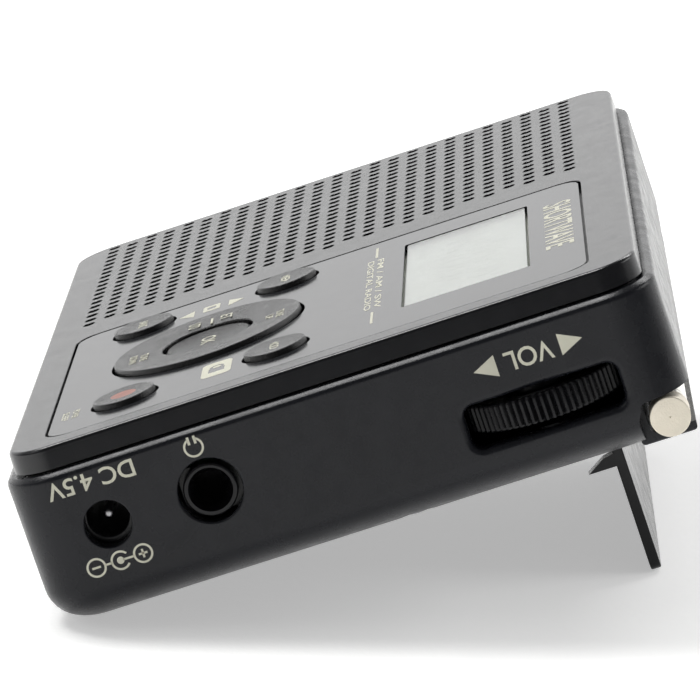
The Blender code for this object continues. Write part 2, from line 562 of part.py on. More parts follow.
# ---------------------------------------------------------------- aerial
def aerial():
    centre = (AERIAL_Y, AERIAL_Z)
    for number, (outer, inner) in enumerate(AERIAL_TUBES, 1):
        start = AERIAL_FROM + (number - 1) * TUBE_START_STEP
        end = AERIAL_TO + (number - 1) * TUBE_END_STEP
        if inner:
            middle = (start + end) / 2.0
            half = (end - start) / 2.0
            profile = ((inner, half), (outer, half), (outer, -half), (inner, -half))
            turned(f"aerial_section_{number}", profile, (middle, *centre), SMALL_ROUND, axis="x",
                   closed=True)
        else:
            rod(f"aerial_section_{number}", "x", centre, outer, start, end, SMALL_ROUND)
    tip = ((0.0, TIP_LENGTH), (TIP_R - TIP_EDGE, TIP_LENGTH), (TIP_R, TIP_LENGTH - TIP_EDGE),
           (TIP_R, 0.0), (0.0, 0.0))
    turned("aerial_tip", tip, (AERIAL_TO + TIP_OFF_TUBE, *centre), ROUND, axis="x")
    pivot = (AERIAL_PIVOT_X, AERIAL_Y)
    knuckle = rod("aerial_knuckle", "z", pivot, KNUCKLE_R, *KNUCKLE_Z, HOLE_ROUND)
    join(knuckle, rod("stem", "x", centre, STEM_R, AERIAL_PIVOT_X, AERIAL_FROM - GAP, SMALL_ROUND))
    cut(knuckle, rod("bore", "z", pivot, KNUCKLE_BORE_R, KNUCKLE_Z[0] - PAST, KNUCKLE_Z[1] + PAST,
                     SMALL_ROUND))
    rod("aerial_pivot_pin", "z", pivot, AERIAL_PIN_R, *AERIAL_PIN_Z, SMALL_ROUND)


# ---------------------------------------------------------------- stand
def kick_stand():
    half_thick = STAND_THICK / 2.0
    plate = block("kick_stand", (-STAND_X, STAND_X),
                  (STAND_PIVOT_Y - half_thick, STAND_PIVOT_Y + half_thick),
                  (STAND_FOOT_Z, STAND_PIVOT_Z))
    barrel = rod("barrel", "x", (STAND_PIVOT_Y, STAND_PIVOT_Z), STAND_BARREL_R, -STAND_X, STAND_X,
                 SMALL_ROUND)
    tab_z = STAND_PIVOT_Z - TAB_DISTANCE
    tab = block("tab", (STAND_X - TAB_WIDTH, STAND_X),
                (STAND_LOW_FACE_Y - TAB_HEIGHT, STAND_PIVOT_Y), grown(tab_z, tab_z, TAB_THICK / 2))
    join(plate, barrel, tab)
    pivot = (STAND_PIVOT_Y, STAND_PIVOT_Z)
    for side, name in ((-1, "stand_pin_left"), (1, "stand_pin_right")):
        cut(plate, rod("pin_bore", "x", pivot, STAND_PIN_R + STAND_PIN_BORE_GAP,
                       *past_stand(side, STAND_PIN_BORE_X), SMALL_ROUND))
        rod(name, "x", pivot, STAND_PIN_R, *past_stand(side, STAND_PIN_X), PIN_ROUND)
    return plate


# ---------------------------------------------------------------- materials
def paint():
    """Give every part its material, by the first rule that its name starts with."""
    plastic = make_material("black_plastic", (0.022, 0.023, 0.026), 0.38)
    panel = make_material("panel_film", (0.030, 0.031, 0.034), 0.30)
    keys = make_material("key_plastic", (0.035, 0.035, 0.038), 0.42)
    chrome = make_material("chrome", (0.75, 0.74, 0.70), 0.22, 1.0)
    steel = make_material("steel", (0.45, 0.45, 0.46), 0.35, 1.0)
    copper = make_material("copper_wire", (0.60, 0.25, 0.10), 0.35, 1.0)
    board = make_material("board_green", (0.03, 0.12, 0.05), 0.50)
    glass = make_material("lcd_glass", (0.45, 0.48, 0.42), 0.15)
    rubber = make_material("grey_rubber", (0.25, 0.25, 0.26), 0.70)
    cloth = make_material("black_cloth", (0.01, 0.01, 0.01), 0.90)
    paper = make_material("cone_paper", (0.04, 0.035, 0.03), 0.85)
    ferrite = make_material("ferrite", (0.05, 0.05, 0.055), 0.55)
    sleeve = make_material("cell_sleeve", (0.05, 0.16, 0.32), 0.35)
    rules = (
        ("control_panel", panel), ("lcd_", glass), ("grille_cloth", cloth), ("keypad", rubber),
        ("nav_", keys), ("ok_", keys), ("band_", keys), ("memory_", keys), ("mode_", keys),
        ("power_", keys), ("main_board", board), ("tuner_shield", chrome), ("speaker_cone", paper),
        ("speaker_", steel), ("volume_wheel", plastic), ("volume_", steel), ("dc_jack_pin", chrome),
        ("battery_cell", sleeve), ("battery_spring", chrome), ("battery_plate", chrome),
        ("aerial_", chrome), ("stand_pin", steel), ("case_screw", steel), ("ferrite_rod", ferrite),
        ("ferrite_coil", copper),
    )
    for thing in PARTS.objects:
        chosen = next((m for start, m in rules if thing.name.startswith(start)), plastic)
        thing.data.materials.clear()
        thing.data.materials.append(chosen)
        thing.data.shade_smooth()
        thing.data.set_sharp_from_angle(angle=math.radians(32.0))


# ---------------------------------------------------------------- assembly
PIVOTS = {
    "nav_ring": (*NAV, NAV_PIVOT_Z),
    "nav_pivot_ring": (*NAV, NAV_PIVOT_Z),
    "volume_wheel": (WHEEL_X, WHEEL_Y, WHEEL_Z[0]),
    "volume_shaft": (WHEEL_X, WHEEL_Y, WHEEL_Z[0]),
    "volume_screw": (WHEEL_X, WHEEL_Y, WHEEL_Z[0]),
    "battery_door": (BAY[0], BAY[2] + GAP + DOOR_HINGE_IN, -DEPTH + DOOR_HINGE_IN),
    "kick_stand": (0.0, STAND_PIVOT_Y, STAND_PIVOT_Z),
    "aerial_knuckle": (AERIAL_PIVOT_X, AERIAL_Y, AERIAL_Z),
}


def stand_up():
    """Hang every part on one empty, lean it back, and put the bottom's centre at the origin."""
    root = bpy.data.objects.new("receiver_frame", None)
    bpy.context.scene.collection.objects.link(root)
    for thing in PARTS.objects:
        pivot = Vector(PIVOTS.get(thing.name, (0.0, 0.0, 0.0))) * MM
        thing.data.transform(Matrix.Translation(-pivot))
        thing.location = pivot
        thing.parent = root
    root.rotation_euler = (LEAN, 0.0, 0.0)
    bpy.context.view_layer.update()
    corners = [thing.matrix_world @ v.co for thing in PARTS.objects for v in thing.data.vertices]
    middle_x, middle_y = ((min(c[i] for c in corners) + max(c[i] for c in corners)) / 2.0
                          for i in (0, 1))
    root.location = (-middle_x, -middle_y, -min(c.z for c in corners))
    bpy.context.view_layer.update()
    return root


def build():
    front_cabinet()
    back_cabinet()
    control_panel()
    screws()
    for name in KEYS:
        key_cap(name)
    nav_ring()
    nav_pivot_ring()
    ok_button()
    keypad_mat()
    display()
    main_board()
    tuner_shield()
    speaker()
    volume_control()
    jacks()
    ferrite_aerial()
    battery_door()
    batteries()
    aerial()
    kick_stand()
    paint()
    return stand_up()


clear_scene()
PARTS = make_collection("shortwave_receiver")
CUTTERS = make_collection("cutters")
build()
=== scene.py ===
"""Looks of the pocket shortwave receiver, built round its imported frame.

Every piece is drawn in the set's own frame, in millimetres: x to the viewer's right, y up the
height, z out of the front face, with the front face at z = 0 and y = 0 at the bottom side. SET then
takes it to where the frame lies. Sizes that the frame holds are read from it with span().
"""
import json
import math
from collections import namedtuple

import bmesh
import bpy
from mathutils import Matrix, Vector


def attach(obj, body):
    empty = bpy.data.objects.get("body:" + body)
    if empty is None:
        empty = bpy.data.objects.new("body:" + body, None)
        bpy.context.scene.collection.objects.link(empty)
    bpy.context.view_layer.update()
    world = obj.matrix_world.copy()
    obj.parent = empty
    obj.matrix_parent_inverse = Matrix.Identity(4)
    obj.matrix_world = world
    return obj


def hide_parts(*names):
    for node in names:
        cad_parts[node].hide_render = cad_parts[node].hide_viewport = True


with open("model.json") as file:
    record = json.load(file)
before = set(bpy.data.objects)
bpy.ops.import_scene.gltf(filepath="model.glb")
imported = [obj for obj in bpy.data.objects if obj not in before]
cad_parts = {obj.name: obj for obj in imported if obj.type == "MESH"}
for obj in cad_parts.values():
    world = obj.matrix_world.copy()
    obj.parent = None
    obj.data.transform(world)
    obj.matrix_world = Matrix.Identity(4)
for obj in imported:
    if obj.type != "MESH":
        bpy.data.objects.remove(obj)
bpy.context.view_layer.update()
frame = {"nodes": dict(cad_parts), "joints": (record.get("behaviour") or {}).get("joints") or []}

# ---------------------------------------------------------------- where the set lies
Span = namedtuple("Span", "x y z")


def joint(name):
    return next(j for j in frame["joints"] if j["name"] == name)


OUT = -Vector(joint("ok_press")["axis"])        # out of the front face
ACROSS = Vector((1.0, 0.0, 0.0))
UP = OUT.cross(ACROSS)
TURN = Matrix((ACROSS, UP, OUT)).transposed()


def extent(node, matrix):
    points = [matrix @ v.co for v in frame["nodes"][node].data.vertices]
    return Span(*((min(p[i] for p in points), max(p[i] for p in points)) for i in range(3)))


def middle(pair):
    return (pair[0] + pair[1]) / 2.0


BACK_EXTENT = extent("back_cabinet", TURN.transposed())
FRONT_EXTENT = extent("front_cabinet", TURN.transposed())
ORIGIN = Vector((middle(BACK_EXTENT.x), BACK_EXTENT.y[0], FRONT_EXTENT.z[1]))
SET = Matrix.Translation(TURN @ ORIGIN) @ TURN.to_4x4() @ Matrix.Scale(0.001, 4)


def span(node):
    """A CAD node's reach along the set's own axes, in millimetres."""
    return extent(node, SET.inverted())


# ---------------------------------------------------------------- sizes from the frame (mm)
BODY = span("back_cabinet")
FACE = span("front_cabinet")
PANEL = span("control_panel")
WINDOW = span("lcd_window")
MODULE = span("lcd_module")
RING = span("nav_ring")
OK_KEY = span("ok_button")
WHEEL = span("volume_wheel")
PHONES = span("headphone_jack")
DC = span("dc_jack")
DC_PIN = span("dc_jack_pin")
DOOR = span("battery_door")
STAND = span("kick_stand")
TIP = span("aerial_tip")
KNUCKLE = span("aerial_knuckle")
KEYS = {key: span(key + "_button") for key in ("band", "memory", "mode", "power")}
SCREWS = [span(f"case_screw_{number}") for number in (1, 2, 3, 4)]
TUBES = [span(f"aerial_section_{number}") for number in (1, 2, 3, 4)]

# ---------------------------------------------------------------- sizes of the detail (mm)
PAST = 1.0                      # how far a cutter runs past the face that it opens
GAP = 0.3                       # clearance between parts that fit together
OVERLAP = 0.4                   # how far bodies that are joined reach into each other

# the two shells
CORNER = 6.0                    # the back shell's corners in plan
BACK_ROUND = 5.5
BACK_SWEEP = 2.1                # how much further it rounds off on the left and right
LEDGE_ROUND = 0.9               # the back shell's front edge, nearly a bevel
FACE_ROUND = 0.5                # the front shell's edge
FACE_DRAFT, END_DRAFT = 0.32, 0.05       # how far its sides and its ends lean in
INSET = BODY.x[1] - FACE.x[1]
WALL, BACK_WALL, FACE_THICK = 1.8, 1.6, 1.6
LIP_GAP, LIP_WALL = 0.4, 1.1    # the front shell's lip inside the back shell
LIP_Z = -5.0
SEAM_Z = -2.5

# the panel and the grille
PANEL_CORNER = 2.7
KEY_WINDOW = ((1.8, 48.0), (9.0, 39.0))
HOLE_R, HOLE_CHAMFER = 0.76, 0.05
GRILLE_ROWS, GRILLE_PITCH_Y, GRILLE_FIRST_Y = 25, 2.547, 6.3
GRILLE_NEAR_X, GRILLE_PITCH_X, GRILLE_HOLES = -7.1, 2.6, 19

# screws, battery bay and stand
BOSS_R, BOSS_END_Z, PILOT_R = 2.0, -16.6, 1.3
POST_R, SCREW_SEAT_Z, SCREW_DOME, SHANK_R = 3.3, -19.0, 0.9, 1.0
BAY = ((-6.5, 43.5), (6.0, 40.8))
BAY_Z, BAY_WALL = -8.7, 1.2
SPRING_WIRE, SPRING_END_R, SPRING_TURNS = 0.2, 1.8, 3
STAND_RECESS_X, STAND_RECESS_Y, STAND_RECESS_Z = 30.4, (43.2, 66.2), -19.1
STAND_WALL_X, STAND_WALL_Y, STAND_ROOF = 2.2, 1.5, 1.4
STAND_PIVOT_Y, STAND_PIVOT_Z, STAND_HALF_THICK = 64.0, -20.55, 0.62
TAB_SLOT = ((27.4, 30.4), (54.8, 60.1), (BODY.z[0], -15.0))
PIN_HOLE_X, PIN_HOLE_R = (29.0, STAND_RECESS_X + 1.8), 0.8

# the aerial, its channel and guard
CHANNEL_Y, CHANNEL_Z, CHANNEL_WALL = 69.2, (-20.35, -15.4), 1.3
GUARD_X, GUARD_Y, GUARD_THICK, GUARD_ROUND = (-54.4, 51.5), 74.3, 1.0, 0.6
GRIP_Y, GRIP_CORNER = 68.5, 2.6
TIP_Y, TIP_Z = middle(TIP.y), middle(TIP.z)
KNUCKLE_R, KNUCKLE_BORE_R, STEM_R = 2.25, 1.1, 1.7
KNUCKLE_ROOM, PIVOT_HOLE_END_Z = 0.65, -13.0
TUBE_BORES = (1.86, 1.38, 0.90, None)    # the thinnest tube is solid

# the sockets and the volume wheel in the right side
SIDE_CUT_X = 54.0               # how far in the side's openings are cut
DC_HOLE_R, PHONES_HOLE_R = 2.65, 3.6
DC_Z, DC_BORE_R, DC_PIN_R, DC_BLOCK_Z = -9.6, 2.3, 0.55, (-12.9, -7.1)
NOSE_Z, NOSE_R, NOSE_BORE_R = -9.9, 3.05, 1.8
PHONES_BLOCK_Z, PHONES_BLOCK_END_X = (-13.0, -7.1), 55.3
JACK_BORE_X = 46.5
SLOT_Y, SLOT_Z, SLOT_CORNER, SLOT_FLARE = (50.6, 68.1), (-14.9, -9.9), 1.3, 0.8
WHEEL_R, WHEEL_BORE_R, WHEEL_ROUND, WHEEL_DISH_R = 9.6, 1.7, 0.35, (4.5, 8.0)
RIBS, RIB_DEPTH = 76, 0.34      # round the volume wheel

# keys and display
KEY_R, KEY_DISH, KEY_RIM = 3.7, 0.08, 0.14
OK_DISH = 0.2
RING_R, RING_HOLE_R, RING_DROP = 11.35, 5.5, 0.25
POWER_DOT_R = 1.5
FIGURES, FIGURE_PITCH, FIGURE_TALL = 5, 5.2, 6.4      # the display's unlit figures

# printed marks
PRINT = 0.02                    # their thickness
SUNK = 0.005                    # how far a mark reaches into what it is printed on
LINE = 0.24                     # width of the side's printed lines
POLARITY_Z, POLARITY_R = -14.3, 1.0
MINUS_Y, CENTRE_Y, PLUS_Y = 7.1, 9.9, 12.5      # the signs of the polarity mark

# ---------------------------------------------------------------- shapes
AXES = {
    "x": lambda u, v, w: (w, u, v),
    "y": lambda u, v, w: (v, w, u),
    "z": lambda u, v, w: (u, v, w),
}


def add_object(name, mesh):
    thing = bpy.data.objects.new(name, mesh)
    bpy.context.scene.collection.objects.link(thing)
    return thing


def from_bmesh(name, bm):
    bmesh.ops.recalc_face_normals(bm, faces=bm.faces)
    mesh = bpy.data.meshes.new(name)
    bm.to_mesh(mesh)
    bm.free()
    return add_object(name, mesh)


def grown(pair, by):
    return (pair[0] - by, pair[1] + by)


def arc(centre, radius, start, stop, steps):
    """Points of an arc between two angles in degrees."""
    angles = (math.radians(start + (stop - start) * i / steps) for i in range(steps + 1))
    return [(centre[0] + radius * math.cos(a), centre[1] + radius * math.sin(a)) for a in angles]


def box_outline(u, v, corner, steps=8):
    """A rectangle with round corners, which grows outwards by an offset."""
    def outline(offset=0.0):
        radius = max(corner + offset, 0.02)
        low_u, high_u = u[0] - offset + radius, u[1] + offset - radius
        low_v, high_v = v[0] - offset + radius, v[1] + offset - radius
        corners = ((high_u, low_v, -90), (high_u, high_v, 0), (low_u, high_v, 90),
                   (low_u, low_v, 180))
        return [p for cu, cv, a in corners for p in arc((cu, cv), radius, a, a + 90, steps)]
    return outline


def ring_outline(centre, radius, sides=48):
    def outline(offset=0.0):
        return arc(centre, max(radius + offset, 0.01), 0, 360, sides)[:-1]
    return outline


def shape_outline(points):
    """An outline of straight runs that doesn't grow."""
    return lambda offset=0.0: points


def loft(name, outline, profile, to="z"):
    """A closed body whose outline changes along its axis: profile lists (offset, height)."""
    bm = bmesh.new()
    rings = [[bm.verts.new(AXES[to](u, v, height)) for u, v in outline(offset)]
             for offset, height in profile]
    for lower, upper in zip(rings, rings[1:]):
        for i, corner in enumerate(lower):
            bm.faces.new((lower[i - 1], corner, upper[i], upper[i - 1]))
    bm.faces.new(rings[0])
    bm.faces.new(rings[-1])
    return from_bmesh(name, bm)


def soft_profile(z, front=0.0, back=0.0, steps=6):
    """Straight sides between two rounded rims."""
    low = arc((-back, z[0] + back), back, -90, 0, steps) if back else [(0.0, z[0])]
    high = arc((-front, z[1] - front), front, 0, 90, steps) if front else [(0.0, z[1])]
    return low + high


def mouth_profile(z, flare, steps=5, mouth="high"):
    """A cutter's sides, which flare out in an arc where it opens a face."""
    if mouth == "high":
        return [(0.0, z[0]), *arc((flare, z[1] - flare), flare, 180, 90, steps),
                (flare, z[1] + PAST)]
    return [(flare, z[0] - PAST), *arc((flare, z[0] + flare), flare, -90, -180, steps),
            (0.0, z[1])]


def slab(name, x, y, z, corner=0.3, front=0.0, back=0.0, steps=6, to="z"):
    return loft(name, box_outline(x, y, corner, steps), soft_profile(z, front, back, steps), to)


def drum(name, centre, radius, z, front=0.0, back=0.0, sides=48, to="z"):
    return loft(name, ring_outline(centre, radius, sides), soft_profile(z, front, back, 4), to)


def lathe(name, profile, centre, sides=64, to="z"):
    """A ring: a closed loop of (radius, height) points spun about an axis."""
    bm = bmesh.new()
    turns = []
    for i in range(sides):
        angle = 2.0 * math.pi * i / sides
        turns.append([bm.verts.new(AXES[to](centre[0] + r * math.cos(angle),
                                            centre[1] + r * math.sin(angle), h))
                      for r, h in profile])
    for i, here in enumerate(turns):
        before = turns[i - 1]
        for k in range(len(profile)):
            bm.faces.new((before[k - 1], before[k], here[k], here[k - 1]))
    return from_bmesh(name, bm)


def rounded(points, radius, steps):
    """A closed outline's corners, each rounded by a curve that starts a radius away from it."""
    result = []
    for i, point in enumerate(points):
        here = Vector(point)
        before = Vector(points[i - 1]) - here
        after = Vector(points[(i + 1) % len(points)]) - here
        reach = min(radius, before.length * 0.45, after.length * 0.45)
        start, end = here + before.normalized() * reach, here + after.normalized() * reach
        for k in range(steps + 1):
            t = k / steps
            curve = start * (1 - t) ** 2 + here * 2 * t * (1 - t) + end * t ** 2
            result.append(tuple(curve))
    return result


def settle(thing):
    """Replace an object's mesh by what its modifiers make of it."""
    evaluated = thing.evaluated_get(bpy.context.evaluated_depsgraph_get())
    mesh = bpy.data.meshes.new_from_object(evaluated)
    thing.modifiers.clear()
    thing.data = mesh


def combine(thing, tools, operation):
    for tool in tools:
        step = thing.modifiers.new(operation.title(), "BOOLEAN")
        step.operation = operation
        step.solver = "EXACT"
        step.object = tool
        settle(thing)
        bpy.data.objects.remove(tool, do_unlink=True)
    return thing


def cut(thing, *tools):
    return combine(thing, tools, "DIFFERENCE")


def join(thing, *tools):
    return combine(thing, tools, "UNION")


def gather(name, things):
    """Several bodies as one object."""
    bm = bmesh.new()
    for thing in things:
        bm.from_mesh(thing.data)
        bpy.data.objects.remove(thing, do_unlink=True)
    mesh = bpy.data.meshes.new(name)
    bm.to_mesh(mesh)
    bm.free()
    return add_object(name, mesh)


# ---------------------------------------------------------------- materials
def nodes_of(material):
    material.use_nodes = True
    return material.node_tree.nodes, material.node_tree.links


def noise(tree, links, where, scale, detail, low, high, start=0.3, stop=0.7):
    """Noise at a scale per metre, stretched over start to stop and mapped onto low to high."""
    texture = tree.new("ShaderNodeTexNoise")
    texture.inputs["Scale"].default_value = scale
    texture.inputs["Detail"].default_value = detail
    links.new(where, texture.inputs["Vector"])
    spread = tree.new("ShaderNodeMapRange")
    for key, value in (("From Min", start), ("From Max", stop), ("To Min", low), ("To Max", high)):
        spread.inputs[key].default_value = value
    links.new(texture.outputs["Fac"], spread.inputs["Value"])
    return spread.outputs["Result"]


def make_finish(name, colour, rough, metal=0.0, mottle=0.15, grain=(9000.0, 0.000006),
                rough_spread=0.06, ior=1.5, coat=0.0, wear=0.0, stretch=None, sheen=0.0,
                transmission=0.0):
    """A surface with uneven colour, uneven roughness, a fine grain and rubbed edges.

    grain is the bump's scale per metre and its depth in metres.
    """
    material = bpy.data.materials.new(name)
    tree, links = nodes_of(material)
    shader = tree["Principled BSDF"]
    where = tree.new("ShaderNodeTexCoord").outputs["Object"]
    if stretch:
        mapping = tree.new("ShaderNodeMapping")
        mapping.inputs["Scale"].default_value = stretch
        links.new(where, mapping.inputs["Vector"])
        where = mapping.outputs["Vector"]
    tint = tree.new("ShaderNodeMix")
    tint.data_type = "RGBA"
    tint.inputs["A"].default_value = (*(c * (1.0 - mottle) for c in colour), 1.0)
    tint.inputs["B"].default_value = (*(min(c * (1.0 + mottle), 1.0) for c in colour), 1.0)
    links.new(noise(tree, links, where, 160.0, 5.0, 0.0, 1.0), tint.inputs["Factor"])
    shade = tint.outputs["Result"]
    if wear:
        edges = tree.new("ShaderNodeMapRange")
        edges.inputs["From Min"].default_value = 0.53
        edges.inputs["From Max"].default_value = 0.62
        links.new(tree.new("ShaderNodeNewGeometry").outputs["Pointiness"], edges.inputs["Value"])
        scuffs = tree.new("ShaderNodeMath")
        scuffs.operation = "MULTIPLY"
        links.new(edges.outputs["Result"], scuffs.inputs[0])
        links.new(noise(tree, links, where, 900.0, 6.0, 0.0, wear, 0.45, 0.65), scuffs.inputs[1])
        rubbed = tree.new("ShaderNodeMix")
        rubbed.data_type = "RGBA"
        rubbed.inputs["B"].default_value = (*(min(c * 3.0 + 0.03, 1.0) for c in colour), 1.0)
        links.new(scuffs.outputs["Value"], rubbed.inputs["Factor"])
        links.new(shade, rubbed.inputs["A"])
        shade = rubbed.outputs["Result"]
    links.new(shade, shader.inputs["Base Color"])
    links.new(noise(tree, links, where, 420.0, 4.0, max(rough - rough_spread, 0.02),
                    rough + rough_spread), shader.inputs["Roughness"])
    bump = tree.new("ShaderNodeBump")
    bump.inputs["Distance"].default_value = grain[1]
    links.new(noise(tree, links, where, grain[0], 3.0, 0.0, 1.0), bump.inputs["Height"])
    links.new(bump.outputs["Normal"], shader.inputs["Normal"])
    shader.inputs["Metallic"].default_value = metal
    shader.inputs["IOR"].default_value = ior
    shader.inputs["Coat Weight"].default_value = coat
    shader.inputs["Coat Roughness"].default_value = 0.05
    shader.inputs["Sheen Weight"].default_value = sheen
    shader.inputs["Transmission Weight"].default_value = transmission
    return material


CASE_COLOUR = (0.0040, 0.0043, 0.0058)
BACK_COLOUR = (0.0080, 0.0086, 0.0112)
GLOSS_COLOUR = (0.005, 0.005, 0.006)
SOFT_BLACK_IOR = 1.33           # black plastics that mirror the pale floor only faintly
# each finish: the record's material slot and the material
FINISHES = {
    "case": ("case_black", make_finish("case_plastic", CASE_COLOUR, 0.20, mottle=0.06, wear=0.2,
                                       grain=(11000.0, 0.000004), rough_spread=0.02)),
    "back": ("case_black", make_finish("back_plastic", BACK_COLOUR, 0.27, wear=0.3,
                                       ior=SOFT_BLACK_IOR, mottle=0.08,
                                       grain=(7000.0, 0.000008))),
    "stand": ("case_black", make_finish("stand_plastic", (0.003, 0.0031, 0.004), 0.20,
                                        ior=SOFT_BLACK_IOR)),
    "gloss": ("case_black", make_finish("gloss_plastic", GLOSS_COLOUR, 0.14,
                                        ior=SOFT_BLACK_IOR)),
    "wheel": ("case_black", make_finish("wheel_plastic", GLOSS_COLOUR, 0.24, wear=0.5,
                                        ior=1.30)),
    "panel": ("panel_film", make_finish("panel_film", (0.022, 0.023, 0.025), 0.13, mottle=0.06,
                                        grain=(6000.0, 0.0000015), rough_spread=0.02)),
    "keys": ("key_black", make_finish("key_plastic", (0.010, 0.0098, 0.0105), 0.22, mottle=0.3,
                                      ior=1.42, grain=(14000.0, 0.000014))),
    "print": ("key_black", make_finish("printed_ink", (0.62, 0.61, 0.50), 0.55, mottle=0.08)),
    "red": ("key_black", make_finish("red_ink", (0.34, 0.15, 0.12), 0.50, mottle=0.1)),
    "window": ("lcd_glass", make_finish("window_clear", (0.92, 0.95, 0.93), 0.05, mottle=0.01,
                                        grain=(300.0, 0.000002), rough_spread=0.02,
                                        transmission=1.0)),
    "display": ("lcd_face", make_finish("display_face", (0.38, 0.40, 0.335), 0.35, mottle=0.03)),
    "segments": ("lcd_face", make_finish("display_segments", (0.33, 0.35, 0.30), 0.35)),
    "cloth": ("cloth_black", make_finish("dust_cloth", (0.010, 0.010, 0.010), 0.90, sheen=0.1,
                                         grain=(3500.0, 0.00006))),
    "board": ("board_green", make_finish("solder_mask", (0.02, 0.09, 0.04), 0.32, coat=0.3,
                                         mottle=0.4)),
    "rubber": ("rubber_grey", make_finish("contact_rubber", (0.22, 0.22, 0.23), 0.70)),
    "steel": ("steel", make_finish("plain_steel", (0.48, 0.48, 0.49), 0.32, metal=1.0,
                                   stretch=(1.0, 1.0, 14.0), mottle=0.2)),
    "chrome": ("chrome", make_finish("nickel_chrome", (0.78, 0.76, 0.70), 0.20, metal=1.0,
                                     stretch=(0.15, 1.0, 1.0), mottle=0.08)),
    "tip": ("chrome", make_finish("turned_tip", (0.82, 0.76, 0.64), 0.42, metal=0.55,
                                  mottle=0.12, grain=(5000.0, 0.000015))),
    "paper": ("cone_paper", make_finish("cone_paper", (0.035, 0.03, 0.026), 0.88, mottle=0.4,
                                        grain=(2500.0, 0.00008))),
    "ferrite": ("ferrite", make_finish("ferrite", (0.05, 0.05, 0.055), 0.55, mottle=0.3)),
    "copper": ("copper", make_finish("copper_wire", (0.62, 0.27, 0.12), 0.30, metal=1.0,
                                     stretch=(40.0, 1.0, 1.0))),
    "sleeve": ("cell_sleeve", make_finish("cell_sleeve", (0.04, 0.13, 0.28), 0.28, coat=0.4)),
}


SHARP_ANGLE = 38.0               # edges that turn by more degrees are shaded as corners


def fit(thing, body, finish, *nodes):
    """Take a piece to where the set lies, with its finish, body and the nodes it stands for."""
    slot, material = FINISHES[finish]
    thing.data.transform(SET)
    thing.data.materials.clear()
    thing.data.materials.append(material)
    thing.data.shade_smooth()
    thing.data.set_sharp_from_angle(angle=math.radians(SHARP_ANGLE))
    weigh = thing.modifiers.new("Even shading", "WEIGHTED_NORMAL")
    weigh.keep_sharp = True
    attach(thing, body)
    if nodes:
        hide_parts(*nodes)
    return thing


# ---------------------------------------------------------------- camera, lights, floor
CAMERA_AT = (612.26, 92.15, 112.80)              # in the set's own frame, as the next two
CAMERA_RIGHT = (-0.02256662, 0.94804584, -0.31733237)
CAMERA_DOWN = (0.21620747, -0.30527376, -0.92739542)
CAMERA_ANGLE = 7.646                             # degrees across the picture
FLOOR_SIDE, FLOOR_THICK = 4000.0, 20.0
FLOOR_GLOW = 0.42                # the floor is a light table, lit a little from below
ROOM_LEVEL = (0.14, 1.16)        # the surroundings' strength, away from the card and on it
# each lamp points at the set: name, place and size in metres, and power in watts
LAMPS = (
    ("key_light", (-1.5, 0.5, 1.5), (1.1, 0.5), 12.0),
    ("fill_light", (0.6, -1.8, 1.3), (1.2, 1.2), 4.0),
    ("top_light", (-0.30, -0.62, 1.39), (0.5, 0.8), 17.0),
    ("rim_light", (-0.4, 2.0, 1.2), (1.4, 0.7), 10.0),
)


def studio():
    camera = bpy.data.cameras.new("camera")
    camera.sensor_fit = "HORIZONTAL"
    camera.angle = math.radians(CAMERA_ANGLE)
    camera.clip_start = 0.01
    holder = bpy.data.objects.new("camera", camera)
    bpy.context.scene.collection.objects.link(holder)
    right, down = TURN @ Vector(CAMERA_RIGHT), TURN @ Vector(CAMERA_DOWN)
    look = Matrix((right, -down, right.cross(-down))).transposed().to_4x4()
    holder.matrix_world = Matrix.Translation(SET @ Vector(CAMERA_AT)) @ look
    bpy.context.scene.camera = holder
    bpy.context.scene.view_settings.view_transform = "Standard"

    floor = slab("floor", (-FLOOR_SIDE, FLOOR_SIDE), (-FLOOR_SIDE, FLOOR_SIDE),
                 (-FLOOR_THICK, 0.0), corner=10.0)
    floor.data.transform(Matrix.Scale(0.001, 4))
    paper = make_finish("floor_paper", (0.90, 0.90, 0.89), 0.85, mottle=0.01,
                        grain=(900.0, 0.00002))
    glow = nodes_of(paper)[0]["Principled BSDF"].inputs
    glow["Emission Color"].default_value = (1.0, 1.0, 1.0, 1.0)
    glow["Emission Strength"].default_value = FLOOR_GLOW
    floor.data.materials.append(paper)

    for name, place, size, power in LAMPS:
        light = bpy.data.lights.new(name, "AREA")
        light.shape = "RECTANGLE"
        light.size, light.size_y = size
        light.energy = power
        lamp = bpy.data.objects.new(name, light)
        bpy.context.scene.collection.objects.link(lamp)
        lamp.location = place
        lamp.rotation_euler = (-Vector(place)).to_track_quat("-Z", "Y").to_euler()


def surroundings():
    """A bright card low on the far side, fading to a dim room overhead and on the near side."""
    world = bpy.data.worlds.new("studio")
    bpy.context.scene.world = world
    world.use_nodes = True
    tree, links = world.node_tree.nodes, world.node_tree.links
    split = tree.new("ShaderNodeSeparateXYZ")
    links.new(tree.new("ShaderNodeTexCoord").outputs["Generated"], split.inputs["Vector"])

    def ramp(output, start, stop):
        spread = tree.new("ShaderNodeMapRange")
        spread.interpolation_type = "SMOOTHSTEP"
        spread.inputs["From Min"].default_value = start
        spread.inputs["From Max"].default_value = stop
        links.new(split.outputs[output], spread.inputs["Value"])
        return spread.outputs["Result"]

    both = tree.new("ShaderNodeMath")
    both.operation = "MULTIPLY"
    links.new(ramp("X", 0.1, -0.7), both.inputs[0])
    links.new(ramp("Z", 0.75, 0.30), both.inputs[1])
    level = tree.new("ShaderNodeMapRange")
    level.inputs["To Min"].default_value, level.inputs["To Max"].default_value = ROOM_LEVEL
    links.new(both.outputs["Value"], level.inputs["Value"])
    links.new(level.outputs["Result"], tree["Background"].inputs["Strength"])
    tree["Background"].inputs["Color"].default_value = (1.0, 1.0, 1.0, 1.0)


